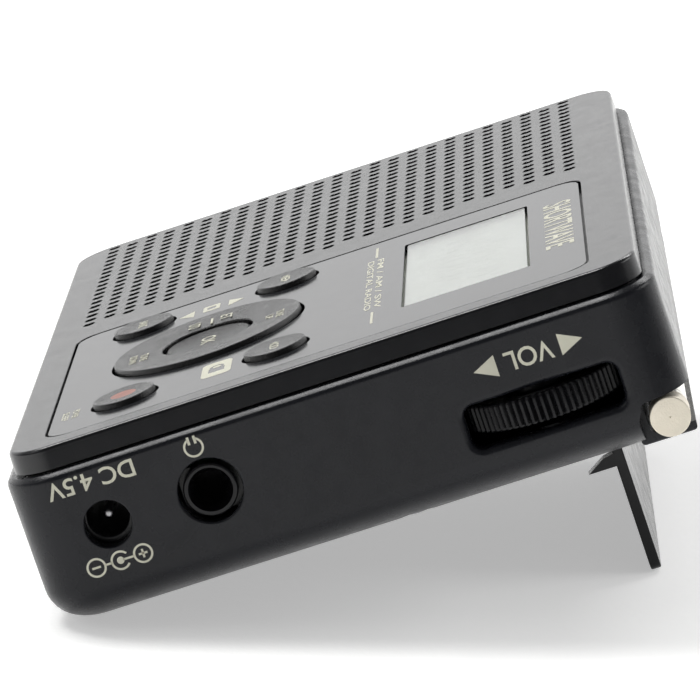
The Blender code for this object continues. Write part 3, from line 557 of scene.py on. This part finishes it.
# ---------------------------------------------------------------- front shell and its grille
def grille_cutters():
    """Every hole of the grille as one cutter: rows in turn of 19 and 18 holes, each chamfered."""
    cutters = []
    for row in range(GRILLE_ROWS):
        y = GRILLE_FIRST_Y + row * GRILLE_PITCH_Y
        shift = (row % 2) / 2.0
        for column in range(GRILLE_HOLES - row % 2):
            x = GRILLE_NEAR_X - (column + shift) * GRILLE_PITCH_X
            profile = [(0.0, -FACE_THICK - PAST), (0.0, -HOLE_CHAMFER), (HOLE_CHAMFER * 1.2, 0.0),
                       (HOLE_CHAMFER * 1.2, PAST)]
            cutters.append(loft("hole", ring_outline((x, y), HOLE_R, 14), profile))
    return gather("grille_holes", cutters)


def front_shell():
    """The drafted face with its lip, screw bosses, panel recess and grille."""
    def outline(reach):
        return box_outline(grown(FACE.x, reach[0]), grown(FACE.y, reach[1]),
                           CORNER - INSET + reach[1], 10)()

    rim = arc((-FACE_ROUND, -FACE_ROUND), FACE_ROUND, 9, 90, 8)
    shell = loft("front_shell", outline,
                 [((0.0, 0.0), SEAM_Z),
                  *(((reach - FACE_DRAFT, reach - END_DRAFT), z) for reach, z in rim)])
    lip_x, lip_y = BODY.x[1] - WALL - LIP_GAP, WALL + LIP_GAP
    join(shell, slab("lip", (-lip_x, lip_x), (lip_y, BODY.y[1] - lip_y), (LIP_Z, SEAM_Z + 0.5),
                     corner=4.0))
    hollow_x, hollow_y = lip_x - LIP_WALL, lip_y + LIP_WALL
    cut(shell, slab("hollow", (-hollow_x, hollow_x), (hollow_y, BODY.y[1] - hollow_y),
                    (LIP_Z - PAST, -FACE_THICK), corner=3.0))
    bosses = []
    for screw in SCREWS:
        centre = (middle(screw.x), middle(screw.y))
        boss = drum("boss", centre, BOSS_R, (BOSS_END_Z, -FACE_THICK + OVERLAP), back=0.2,
                    sides=32)
        bosses.append(cut(boss, drum("pilot", centre, PILOT_R, (BOSS_END_Z - PAST, -8.0),
                                     sides=24)))
    join(shell, *bosses)
    recess = loft("recess",
                  box_outline(grown(PANEL.x, GAP), grown(PANEL.y, GAP), PANEL_CORNER + GAP),
                  mouth_profile((PANEL.z[0] - 0.1, 0.0), 0.12))
    through = (-4.0, PAST)
    cut(shell, recess, slab("keys", *KEY_WINDOW, through),
        slab("display", grown(MODULE.x, GAP), grown(MODULE.y, GAP), through),
        grille_cutters())
    fit(shell, "root", "case", "front_cabinet")


# ---------------------------------------------------------------- back shell
def body_blank(name):
    """The back shell's outside, whose back edges sweep in further on the left and right."""
    def outline(reach):
        return box_outline(grown(BODY.x, reach[0]), grown(BODY.y, reach[1]), CORNER + reach[1], 9)()

    back = arc((-BACK_ROUND, BODY.z[0] + BACK_ROUND), BACK_ROUND, -90, 0, 12)
    ledge = (-LEDGE_ROUND, BODY.z[1] - LEDGE_ROUND)
    front = arc(ledge, LEDGE_ROUND, 0, 38, 3) + arc(ledge, LEDGE_ROUND, 76, 90, 2)
    return loft(name, outline, [((reach * BACK_SWEEP, reach), z) for reach, z in back] +
                [((reach, reach), z) for reach, z in front])


def back_shell():
    """The hollow shell with the aerial's channel and guard, and every opening cut into it."""
    depth = BODY.z[0]
    side = BODY.x[1]
    centres = [(middle(s.x), middle(s.y)) for s in SCREWS]
    cavity = slab("cavity", grown(BODY.x, -WALL), grown(BODY.y, -WALL), (depth + BACK_WALL, 0.0),
                  corner=CORNER - WALL, back=BACK_ROUND - BACK_WALL)
    cut(cavity, *(drum("post", c, POST_R, (depth - PAST, BOSS_END_Z - GAP), sides=32)
                  for c in centres))
    shell = cut(body_blank("back_shell"), cavity)
    channel = slab("channel_walls", BODY.x, (CHANNEL_Y - CHANNEL_WALL, BODY.y[1]),
                   (depth, CHANNEL_Z[1] + CHANNEL_WALL), corner=0.1)
    combine(channel, [body_blank("outline")], "INTERSECT")
    guard = slab("guard", GUARD_X, (CHANNEL_Y - CHANNEL_WALL, GUARD_Y),
                 (depth, CHANNEL_Z[0] + GUARD_THICK), corner=0.1, back=GUARD_ROUND)
    stand_box = slab("stand_box", grown((-STAND_RECESS_X, STAND_RECESS_X), STAND_WALL_X),
                     grown(STAND_RECESS_Y, STAND_WALL_Y),
                     (depth + OVERLAP, STAND_RECESS_Z + STAND_ROOF))
    bay_box = slab("bay_box", grown(BAY[0], BAY_WALL), grown(BAY[1], BAY_WALL),
                   (depth + OVERLAP, BAY_Z + BAY_WALL))
    join(shell, channel, guard, stand_box, bay_box)
    head = middle(SCREWS[0].x) - SCREWS[0].x[0] + GAP
    stepped = [*mouth_profile((depth, SCREW_SEAT_Z), 0.25, mouth="low"),
               (PILOT_R - head, SCREW_SEAT_Z), (PILOT_R - head, BOSS_END_Z + PAST)]
    for c in centres:
        cut(shell, loft("screw_hole", ring_outline(c, head, 40), stepped))
    cut(shell,
        loft("bay", box_outline(*BAY, 0.8), mouth_profile((depth, BAY_Z), 0.2, mouth="low")),
        loft("stand_recess", box_outline((-STAND_RECESS_X, STAND_RECESS_X), STAND_RECESS_Y, 0.8),
             mouth_profile((depth, STAND_RECESS_Z), 0.25, mouth="low")),
        slab("tab_slot", *TAB_SLOT, corner=0.3),
        slab("channel", (CHANNEL_Y, BODY.y[1] + 2.0), CHANNEL_Z,
             (KNUCKLE.x[0] - KNUCKLE_ROOM, side + 2.0), corner=0.7, to="x"),
        slab("grip", (GRIP_Y, BODY.y[1] + 5.0), (depth - 5.0, CHANNEL_Z[1]),
             (GUARD_X[1], side + 2.0), corner=GRIP_CORNER, to="x"),
        drum("pivot_hole", (KNUCKLE.x[0] + KNUCKLE_R, TIP_Y), KNUCKLE_BORE_R,
             (depth - PAST, PIVOT_HOLE_END_Z), sides=24),
        loft("dc_hole", ring_outline((middle(DC.y), middle(DC.z)), DC_HOLE_R),
             mouth_profile((SIDE_CUT_X, side), 0.18), to="x"),
        loft("phones_hole", ring_outline((middle(PHONES.y), NOSE_Z), PHONES_HOLE_R),
             mouth_profile((SIDE_CUT_X, side), 0.28), to="x"),
        loft("wheel_slot", box_outline(SLOT_Y, SLOT_Z, SLOT_CORNER),
             mouth_profile((SIDE_CUT_X, side), SLOT_FLARE, steps=8), to="x"))
    for x in ((-PIN_HOLE_X[1], -PIN_HOLE_X[0]), PIN_HOLE_X):
        cut(shell, drum("pin_hole", (STAND_PIVOT_Y, STAND_PIVOT_Z), PIN_HOLE_R, x, sides=24,
                        to="x"))
    fit(shell, "root", "back", "back_cabinet")


# ---------------------------------------------------------------- panel, display and its print
def panel():
    """The film sheet with a hole for each key, and the display below its window."""
    top = PANEL.z[1]
    sheet = slab("panel_sheet", PANEL.x, PANEL.y, PANEL.z, corner=PANEL_CORNER, front=0.1, steps=4)
    holes = [loft("window", box_outline(grown(WINDOW.x, GAP), grown(WINDOW.y, GAP), 0.35),
                  mouth_profile((PANEL.z[0] - PAST, top), 0.06))]
    for key in (*KEYS.values(), RING):
        centre = (middle(key.x), middle(key.y))
        radius = RING_R + 0.35 if key is RING else KEY_R + GAP
        holes.append(loft("hole", ring_outline(centre, radius, 72),
                          mouth_profile((PANEL.z[0] - PAST, top), 0.08)))
    cut(sheet, *holes)
    fit(sheet, "root", "panel", "control_panel")
    fit(slab("display_window", WINDOW.x, WINDOW.y, WINDOW.z, corner=0.3, front=0.06, steps=3),
        "root", "window", "lcd_window")
    fit(slab("display_block", MODULE.x, MODULE.y, MODULE.z, corner=0.3, front=0.1, steps=3),
        "root", "display", "lcd_module")


def segment_digit(x, y, height):
    """One seven-bar figure, all bars shown as unlit ghosts."""
    width, bar = height * 0.5, height * 0.09
    marks = []
    z = (MODULE.z[1] - SUNK, MODULE.z[1] + PRINT)
    for level in (0.0, 0.5, 1.0):
        marks.append(slab("bar", (x + bar, x + width - bar),
                          (y + level * height - bar / 2, y + level * height + bar / 2), z, 0.05))
    for column in (0.0, 1.0):
        for level in (0.0, 0.5):
            marks.append(slab("bar", (x + column * width - bar / 2, x + column * width + bar / 2),
                              (y + level * height + bar, y + (level + 0.5) * height - bar), z,
                              0.05))
    return marks


def display_marks():
    left, low = WINDOW.x[0] + 4.0, WINDOW.y[0] + 4.2
    marks = [mark for i in range(FIGURES)
             for mark in segment_digit(left + i * FIGURE_PITCH, low, FIGURE_TALL)]
    fit(gather("display_figures", marks), "root", "segments")


def letters(words, u, v):
    """Plain lettering as a thin print that fills the stretches u and v, flat at height 0."""
    curve = bpy.data.curves.new("letters", "FONT")
    curve.body = words
    curve.extrude = PRINT / 2.0
    curve.offset = 0.012
    curve.resolution_u = 4
    guide = add_object("letters", curve)
    mesh = bpy.data.meshes.new_from_object(
        guide.evaluated_get(bpy.context.evaluated_depsgraph_get()))
    bpy.data.objects.remove(guide, do_unlink=True)
    low = Vector(min(vert.co[i] for vert in mesh.vertices) for i in range(2))
    high = Vector(max(vert.co[i] for vert in mesh.vertices) for i in range(2))
    wide, tall = (u[1] - u[0]) / (high.x - low.x), (v[1] - v[0]) / (high.y - low.y)
    for vert in mesh.vertices:
        vert.co.x = u[0] + (vert.co.x - low.x) * wide
        vert.co.y = v[0] + (vert.co.y - low.y) * tall
    return add_object("letters", mesh)


def face_letters(words, x, y, z):
    piece = letters(words, x, y)
    piece.data.transform(Matrix.Translation((0.0, 0.0, z)))
    return piece


def side_letters(words, y, z):
    """Lettering on the right side, read down the height with its tops to the back."""
    piece = letters(words, (-y[1], -y[0]), (-z[1], -z[0]))
    piece.data.transform(Matrix(((0, 0, 1, BODY.x[1] + PRINT / 4), (-1, 0, 0, 0), (0, -1, 0, 0),
                                 (0, 0, 0, 1))))
    return piece


def face_mark(points, z):
    return loft("mark", shape_outline(points), [(0.0, z), (0.0, z + PRINT)])


def side_mark(points):
    x = BODY.x[1]
    return loft("mark", shape_outline(points), [(0.0, x - SUNK), (0.0, x + PRINT)], to="x")


def ring_mark(centre, radius, line, start=0, stop=360):
    """A ring, or part of one, printed on the side."""
    x, sides = BODY.x[1], 40
    outer = arc(centre, radius + line / 2, start, stop, sides)
    inner = arc(centre, radius - line / 2, stop, start, sides)
    if stop - start < 360:
        return side_mark(outer + inner)
    section = [(radius - line / 2, x - SUNK), (radius + line / 2, x - SUNK),
               (radius + line / 2, x + PRINT), (radius - line / 2, x + PRINT)]
    return lathe("mark", section, centre, sides, to="x")


def bar_mark(start, end, line):
    """A straight printed line on the side, between two points."""
    a, b = Vector(start), Vector(end)
    across = (b - a).orthogonal().normalized() * line / 2
    return side_mark([tuple(a - across), tuple(b - across), tuple(b + across), tuple(a + across)])


def side_print():
    """The polarity mark, the phones mark, the volume arrows and the words between them."""
    marks = [side_letters("DC 4.5V", (4.7, 14.7), (-5.75, -3.75))]
    z = POLARITY_Z
    for y in (MINUS_Y, PLUS_Y):
        marks.append(ring_mark((y, z), POLARITY_R, LINE))
        marks.append(bar_mark((y - 0.5, z), (y + 0.5, z), LINE))
    marks.append(bar_mark((PLUS_Y, z - 0.5), (PLUS_Y, z + 0.5), LINE))
    marks.append(ring_mark((CENTRE_Y, z), POLARITY_R, LINE, start=35, stop=325))
    marks.append(loft("dot", ring_outline((CENTRE_Y, z), 0.42, 20),
                      [(0.0, BODY.x[1] - SUNK), (0.0, BODY.x[1] + PRINT)], to="x"))
    marks.append(bar_mark((8.15, z), (8.9, z), LINE))
    marks.append(bar_mark((10.2, z), (11.45, z), LINE))
    phones = (middle(PHONES.y) - 0.2, -4.75)
    marks.append(ring_mark(phones, 1.02, LINE, start=115, stop=425))
    for side in (-1, 1):
        marks.append(bar_mark((phones[0] + side * 0.36, phones[1] + 0.35),
                              (phones[0] + side * 0.36, phones[1] + 1.25), LINE * 1.2))
    marks.append(side_letters("VOL", (56.8, 62.2), (-7.5, -5.3)))
    marks.append(side_mark([(53.2, -6.4), (55.8, -7.65), (55.8, -5.15)]))
    marks.append(side_mark([(65.6, -6.3), (63.0, -5.05), (63.0, -7.55)]))
    fit(gather("side_print", marks), "root", "print")


PANEL_WORDS = (
    ("SHORTWAVE", (11.1, 36.8), (63.8, 67.2)),
    ("FM / AM / SW", (10.8, 38.0), (43.5, 44.3)),
    ("DIGITAL RADIO", (10.8, 38.0), (42.3, 43.1)),
    ("POWER", (41.2, 45.0), (8.1, 8.9)),
    ("SLEEP", (41.2, 45.0), (6.9, 7.7)),
)


def panel_print():
    """The words, the rules beside them, the tuning arrows and the lock badge."""
    z = PANEL.z[1] - 0.004
    marks = [face_letters(words, x, y, z + PRINT / 2) for words, x, y in PANEL_WORDS]
    for low, high in ((3.6, 9.3), (39.8, 45.8)):
        marks.append(slab("rule", (low, high), (43.2, 43.5), (z, z + PRINT), 0.05))
    marks.append(face_mark([(7.6, 18.7), (9.2, 20.6), (6.0, 20.6)], z))
    marks.append(face_mark([(7.4, 26.8), (5.8, 24.9), (9.0, 24.9)], z))
    small = slab("frame", (5.8, 8.6), (21.7, 23.8), (z, z + PRINT), 0.3)
    marks.append(cut(small, slab("inside", (6.6, 7.8), (22.2, 23.3), (z - PAST, z + PAST), 0.2)))
    badge = slab("badge", (39.8, 46.6), (23.4, 26.9), (z, z + PRINT), 0.9)
    shackle = lathe("shackle", [(0.5, z - PAST), (0.85, z - PAST), (0.85, z + PAST),
                                (0.5, z + PAST)], (42.2, 25.15), 32)
    marks.append(cut(badge, shackle, slab("lock", (42.6, 44.6), (24.2, 26.1), (z - PAST, z + PAST),
                                          0.2)))
    fit(gather("panel_print", marks), "root", "print")


# ---------------------------------------------------------------- keys
def soft_rim(radius, top):
    """A wall that flares a little from its cap down to the panel, and the cap's soft rim."""
    return [(radius, PANEL.z[1] - 0.1),
            *arc((radius - 0.1 - KEY_RIM, top - KEY_RIM), KEY_RIM, 8, 90, 5)]


def cap(name, box, radius, dish):
    """A round key: base flange, flared wall, soft rim and a top that dips to its middle."""
    low, top = box.z
    flange = (box.x[1] - box.x[0]) / 2.0
    sides = [(radius, low)]
    if flange > radius + 0.1:
        sides = [(flange, low), (flange, low + 0.8), (radius, low + 0.82)]
    sides += soft_rim(radius, top)
    edge = sides[-1][0]
    for i in range(1, 9):
        away = 1.0 - i / 8.0
        sides.append((max(edge * away, 0.02), top - dish * (1.0 - away ** 2)))
    centre = (middle(box.x), middle(box.y))
    return loft(name, ring_outline(centre, 0.0, 72), sides)


def key_letters(box, words):
    x, y = middle(box.x), middle(box.y)
    return face_letters(words, (x - 1.9, x + 2.1), (y - 0.55, y + 0.55),
                        box.z[1] - KEY_DISH * 0.9)


def keys():
    words = {"band": "BAND", "memory": "MEM", "mode": "MODE"}
    for key, box in KEYS.items():
        fit(cap(f"{key}_cap", box, KEY_R, KEY_DISH), f"{key}_key", "keys", f"{key}_button")
        if key in words:
            mark = key_letters(box, words[key])
            fit(mark, f"{key}_key", "print").name = f"{key}_print"
    box = KEYS["power"]
    dot = loft("power_dot", ring_outline((middle(box.x), middle(box.y)), POWER_DOT_R, 40),
               [(0.0, box.z[1] - KEY_DISH - 0.02), (0.0, box.z[1] - KEY_DISH * 0.8)])
    fit(dot, "power_key", "red")


def rocker():
    """The ring that rocks two ways, the key in its middle and their print."""
    centre = (middle(RING.x), middle(RING.y))
    low, top = RING.z
    flange = (RING.x[1] - RING.x[0]) / 2.0
    section = [(RING_HOLE_R, low), (flange, low), (flange, low + 0.7), (RING_R, low + 0.72),
               *soft_rim(RING_R, top), (RING_HOLE_R + 0.12, top - RING_DROP),
               (RING_HOLE_R, top - RING_DROP - 0.12)]
    fit(lathe("rocker_ring", section, centre, 144), "nav_rocker", "keys", "nav_ring")
    fit(cap("centre_key", OK_KEY, (OK_KEY.x[1] - OK_KEY.x[0]) / 2.0, OK_DISH), "ok_key", "keys",
        "ok_button")
    x, y = centre

    def mark(words, across, up, wide=3.4, tall=0.95):
        """A word on the ring's sloping top, placed from the ring's middle."""
        reach = math.hypot(across, up)
        slope = RING_DROP / (RING_R - RING_HOLE_R)
        z = top - (RING_R - reach) * slope + 0.03
        return face_letters(words, (x + across - wide / 2, x + across + wide / 2),
                            (y + up - tall / 2, y + up + tall / 2), z)

    marks = [mark("TUNE", 0.9, -7.6), mark("DOWN", 0.9, -8.9, 3.8), mark("TUNE", 0.9, 8.9),
             mark("UP", 0.9, 7.6, 1.9), mark("AUTO", -8.0, -1.9, 3.2, 1.5),
             mark("SET", -8.0, 2.0, 3.2, 1.5),
             slab("rule", (x - 9.8, x - 6.2), (y + 0.1, y + 0.35), (top - 0.2, top - 0.1), 0.05)]
    fit(gather("rocker_print", marks), "nav_rocker", "print")
    okay = face_letters("OK", (x - 1.8, x + 1.8), (y - 0.9, y + 0.9), OK_KEY.z[1] - 0.17)
    fit(okay, "ok_key", "print").name = "centre_print"


# ---------------------------------------------------------------- volume wheel
def thumb_wheel():
    centre = (WHEEL.x[0] + WHEEL_R, middle(WHEEL.y))
    low, high = WHEEL.z
    steps = RIBS * 6

    def ribbed(offset=0.0):
        points = []
        for i in range(steps):
            angle = 2.0 * math.pi * i / steps
            wave = 0.5 - 0.5 * math.cos(RIBS * angle)
            radius = WHEEL_R + offset - RIB_DEPTH * wave ** 2
            points.append((centre[0] + radius * math.cos(angle),
                           centre[1] + radius * math.sin(angle)))
        return points

    wheel = loft("thumb_wheel", ribbed, soft_profile((low, high), WHEEL_ROUND, WHEEL_ROUND, 4))
    inner, outer = WHEEL_DISH_R
    cut(wheel, drum("bore", centre, WHEEL_BORE_R, (low - PAST, high + PAST)),
        lathe("dish", [(inner, high - 0.5), (outer, high - 0.5), (outer + 0.2, high + PAST),
                       (inner - 0.2, high + PAST)], centre, 72))
    fit(wheel, "volume_knob", "wheel", "volume_wheel")


# ---------------------------------------------------------------- jacks
def phones_socket():
    y, z = middle(PHONES.y), NOSE_Z
    block = slab("phones_body", PHONES.y, PHONES_BLOCK_Z, (PHONES.x[0], PHONES_BLOCK_END_X),
                 corner=0.4, front=0.2, back=0.2, to="x")
    join(block, drum("nose", (y, z), NOSE_R, (SIDE_CUT_X, PHONES.x[1]), front=0.35, to="x"))
    cut(block, drum("bore", (y, z), NOSE_BORE_R, (JACK_BORE_X, 60.0), to="x"),
        loft("mouth", ring_outline((y, z), NOSE_BORE_R),
             [(-0.1, 55.6), (0.62, 56.9), (0.72, 57.4)], to="x"))
    fit(block, "root", "gloss", "headphone_jack")


def power_socket():
    y, z = middle(DC.y), DC_Z
    block = slab("power_body", DC.y, DC_BLOCK_Z, DC.x, corner=0.4, front=0.2, back=0.2, to="x")
    cut(block, loft("bore", ring_outline((y, z), DC_BORE_R),
                    mouth_profile((JACK_BORE_X, DC.x[1]), 0.25), to="x"))
    fit(block, "root", "gloss", "dc_jack")
    profile = [(0.0, DC_PIN.x[0]), *arc((-0.4, DC_PIN.x[1] - 0.6), 0.4, 0, 80, 6)]
    fit(loft("power_pin", ring_outline((y, z), DC_PIN_R, 32), profile, to="x"), "root", "steel",
        "dc_jack_pin")


# ---------------------------------------------------------------- aerial
AERIAL_BODIES = ("aerial_base", "aerial_slide_2", "aerial_slide_3", "aerial_slide_4")


def aerial():
    for number, (tube, body, bore) in enumerate(zip(TUBES, AERIAL_BODIES, TUBE_BORES), 1):
        start, end = tube.x
        outer = (tube.z[1] - tube.z[0]) / 2.0
        name = f"aerial_tube_{number}"
        if bore is None:
            piece = drum(name, (TIP_Y, TIP_Z), outer, tube.x, front=0.1, back=0.1, sides=32,
                         to="x")
        else:
            section = [(bore, start), (outer, start), (outer, end - 1.3),
                       (outer - 0.03, end - 1.25), (outer - 0.07, end - 0.15),
                       (outer - 0.1, end), (bore, end)]
            piece = lathe(name, rounded(section, 0.05, 2), (TIP_Y, TIP_Z), 48, to="x")
        fit(piece, body, "chrome", f"aerial_section_{number}")
    radius = (TIP.z[1] - TIP.z[0]) / 2.0
    cap = drum("aerial_cap", (TIP_Y, TIP_Z), radius, TIP.x, front=0.14, back=0.25, sides=72,
               to="x")
    cut(cap, loft("dimple", ring_outline((TIP_Y, TIP_Z), 0.12, 20),
                  [(-0.11, TIP.x[1] - 0.12), (0.0, TIP.x[1] + 0.01)], to="x"),
        lathe("groove", [(radius - 0.18, TIP.x[0] + 0.9), (radius + 1, TIP.x[0] + 0.8),
                         (radius + 1, TIP.x[0] + 1.2), (radius - 0.18, TIP.x[0] + 1.1)],
              (TIP_Y, TIP_Z), 72, to="x"))
    fit(cap, "aerial_slide_4", "tip", "aerial_tip")

    pivot = (KNUCKLE.x[0] + KNUCKLE_R, TIP_Y)
    knuckle = drum("aerial_joint", pivot, KNUCKLE_R, KNUCKLE.z, front=0.25, back=0.25, sides=48)
    join(knuckle, drum("stem", (TIP_Y, TIP_Z), STEM_R, (pivot[0], KNUCKLE.x[1]), front=0.2,
                       sides=40, to="x"))
    cut(knuckle, drum("bore", pivot, KNUCKLE_BORE_R, (KNUCKLE.z[0] - PAST, KNUCKLE.z[1] + PAST),
                      sides=32))
    fit(knuckle, "aerial_base", "chrome", "aerial_knuckle")


# ---------------------------------------------------------------- stand
def stand():
    half = STAND.x[1]
    face = (STAND_PIVOT_Y - STAND_HALF_THICK, STAND_PIVOT_Y + STAND_HALF_THICK)
    plate = slab("stand_plate", (STAND.z[0], STAND_PIVOT_Z), (-half, half), face, corner=1.2,
                 front=0.2, back=0.2, steps=5, to="y")
    barrel = drum("barrel", (STAND_PIVOT_Y, STAND_PIVOT_Z), 1.0, (-half, half), front=0.15,
                  back=0.15, to="x")
    tab_z = STAND_PIVOT_Z - 6.45
    tab = loft("tab", shape_outline([(face[0] - 3.35, tab_z - 0.8), (face[0] + 0.4, tab_z - 0.8),
                                     (face[0] + 0.4, tab_z + 0.8), (face[0] - 1.2, tab_z + 0.5)]),
               [(0.0, half - 1.7), (0.0, half)], to="x")
    join(plate, barrel, tab)
    for x in ((-half - 1.0, -half + 2.4), (half - 2.4, half + 1.0)):
        cut(plate, drum("pin_bore", (STAND_PIVOT_Y, STAND_PIVOT_Z), 0.7, x, sides=24, to="x"))
    fit(plate, "stand", "stand", "kick_stand")


# ---------------------------------------------------------------- battery bay
def battery_bay():
    """The door with its grip grooves and arrow, and what lies behind it."""
    door = slab("bay_door", DOOR.x, DOOR.y, (BODY.z[0], DOOR.z[1]), corner=0.6, back=0.25, steps=4)
    ribs = [slab("rib", (14.5, 22.5), (30.0 + 1.3 * i, 30.6 + 1.3 * i),
                 (BODY.z[0] - PAST, BODY.z[0] + 0.35), corner=0.25) for i in range(5)]
    arrow = loft("arrow", shape_outline([(17.1, 27.6), (19.9, 27.6), (18.5, 25.4)]),
                 [(0.0, BODY.z[0] - PAST), (0.0, BODY.z[0] + 0.2)])
    cut(door, *ribs, arrow)
    fit(door, "battery_lid", "back", "battery_door")
    for number in (1, 2, 3):
        cell(number)
        contact_spring(number)
        contact_plate(number)


def cell(number):
    """A cell whose plus end, the one with the nub, faces away from its spring."""
    box = span(f"battery_cell_{number}")
    centre = (middle(box.y), middle(box.z))
    low, high = box.x
    spring = span(f"battery_spring_{number}")
    flip = middle(spring.x) > middle(box.x)
    profile = [*arc((-0.5, low + 0.5), 0.5, -90, 0, 4), *arc((-0.5, high - 1.3), 0.5, 0, 90, 4),
               (-3.2, high - 0.8), (-3.25, high - 0.75), *arc((-3.6, high - 0.3), 0.3, 0, 90, 4)]
    if flip:
        profile = [(offset, low + high - height) for offset, height in reversed(profile)]
    radius = (box.y[1] - box.y[0]) / 2.0
    fit(loft(f"cell_{number}", ring_outline(centre, radius, 64), profile, to="x"), "root",
        "sleeve", f"battery_cell_{number}")


def contact_spring(number):
    """A cone-shaped spring wound from round wire, from its wall to the cell."""
    box = span(f"battery_spring_{number}")
    cell_box = span(f"battery_cell_{number}")
    start, end = box.x[0] + SPRING_WIRE, box.x[1] - SPRING_WIRE
    if middle(cell_box.x) < middle(box.x):
        start, end = end, start
    steps = 22
    wide = (box.z[1] - box.z[0]) / 2.0 - 2 * SPRING_WIRE
    curve = bpy.data.curves.new(f"contact_spring_{number}", "CURVE")
    curve.dimensions = "3D"
    curve.bevel_depth = SPRING_WIRE
    curve.bevel_resolution = 3
    curve.use_fill_caps = True
    spline = curve.splines.new("POLY")
    spline.points.add(SPRING_TURNS * steps)
    for i, point in enumerate(spline.points):
        part = i / (SPRING_TURNS * steps)
        radius = wide + (SPRING_END_R - wide) * part
        angle = 2.0 * math.pi * i / steps
        point.co = (start + (end - start) * part, middle(cell_box.y) + radius * math.cos(angle),
                    middle(cell_box.z) + radius * math.sin(angle), 1.0)
    guide = add_object("guide", curve)
    mesh = bpy.data.meshes.new_from_object(
        guide.evaluated_get(bpy.context.evaluated_depsgraph_get()))
    bpy.data.objects.remove(guide, do_unlink=True)
    fit(add_object(f"contact_spring_{number}", mesh), "root", "chrome",
        f"battery_spring_{number}")


def contact_plate(number):
    box = span(f"battery_plate_{number}")
    plate = slab(f"contact_plate_{number}", box.y, box.z, box.x, corner=0.8, front=0.08,
                 back=0.08, steps=4, to="x")
    fit(plate, "root", "chrome", f"battery_plate_{number}")


# ---------------------------------------------------------------- screws
def screws():
    for number, box in enumerate(SCREWS, 1):
        centre = (middle(box.x), middle(box.y))
        low = box.z[0]
        radius = (box.x[1] - box.x[0]) / 2.0
        dome = [*arc((-SCREW_DOME, low + SCREW_DOME), SCREW_DOME, -90, 0, 6), (0.0, low + 1.5)]
        head = loft(f"screw_{number}", ring_outline(centre, radius, 48), dome)
        join(head, drum("shank", centre, SHANK_R, (low + 1.2, box.z[1]), front=0.3, sides=24))
        for wide, tall in ((1.1, 0.22), (0.22, 1.1)):
            bar = loft("cross", box_outline(grown((centre[0], centre[0]), wide),
                                            grown((centre[1], centre[1]), tall), 0.05, 2),
                       [(0.06, low - PAST), (0.06, low), (-0.08, low + 0.7)])
            cut(head, bar)
        fit(head, "root", "steel", f"case_screw_{number}")


# ---------------------------------------------------------------- pieces kept from the frame
KEPT = {
    "grille_cloth": "cloth", "main_board": "board", "keypad_mat": "rubber",
    "tuner_shield": "chrome", "speaker_frame": "steel", "speaker_magnet": "steel",
    "speaker_cone": "paper", "volume_pot": "steel", "volume_shaft": "steel",
    "volume_screw": "steel", "ferrite_rod": "ferrite", "ferrite_coil": "copper",
    "nav_pivot_ring": "keys", "stand_pin_left": "steel", "stand_pin_right": "steel",
    "aerial_pivot_pin": "steel",
}


def kept_nodes():
    for name, finish in KEPT.items():
        for slot in frame["nodes"][name].material_slots:
            slot.material = FINISHES[finish][1]


def build():
    studio()
    surroundings()
    front_shell()
    back_shell()
    panel()
    display_marks()
    side_print()
    panel_print()
    keys()
    rocker()
    thumb_wheel()
    phones_socket()
    power_socket()
    aerial()
    stand()
    battery_bay()
    screws()
    kept_nodes()


build()
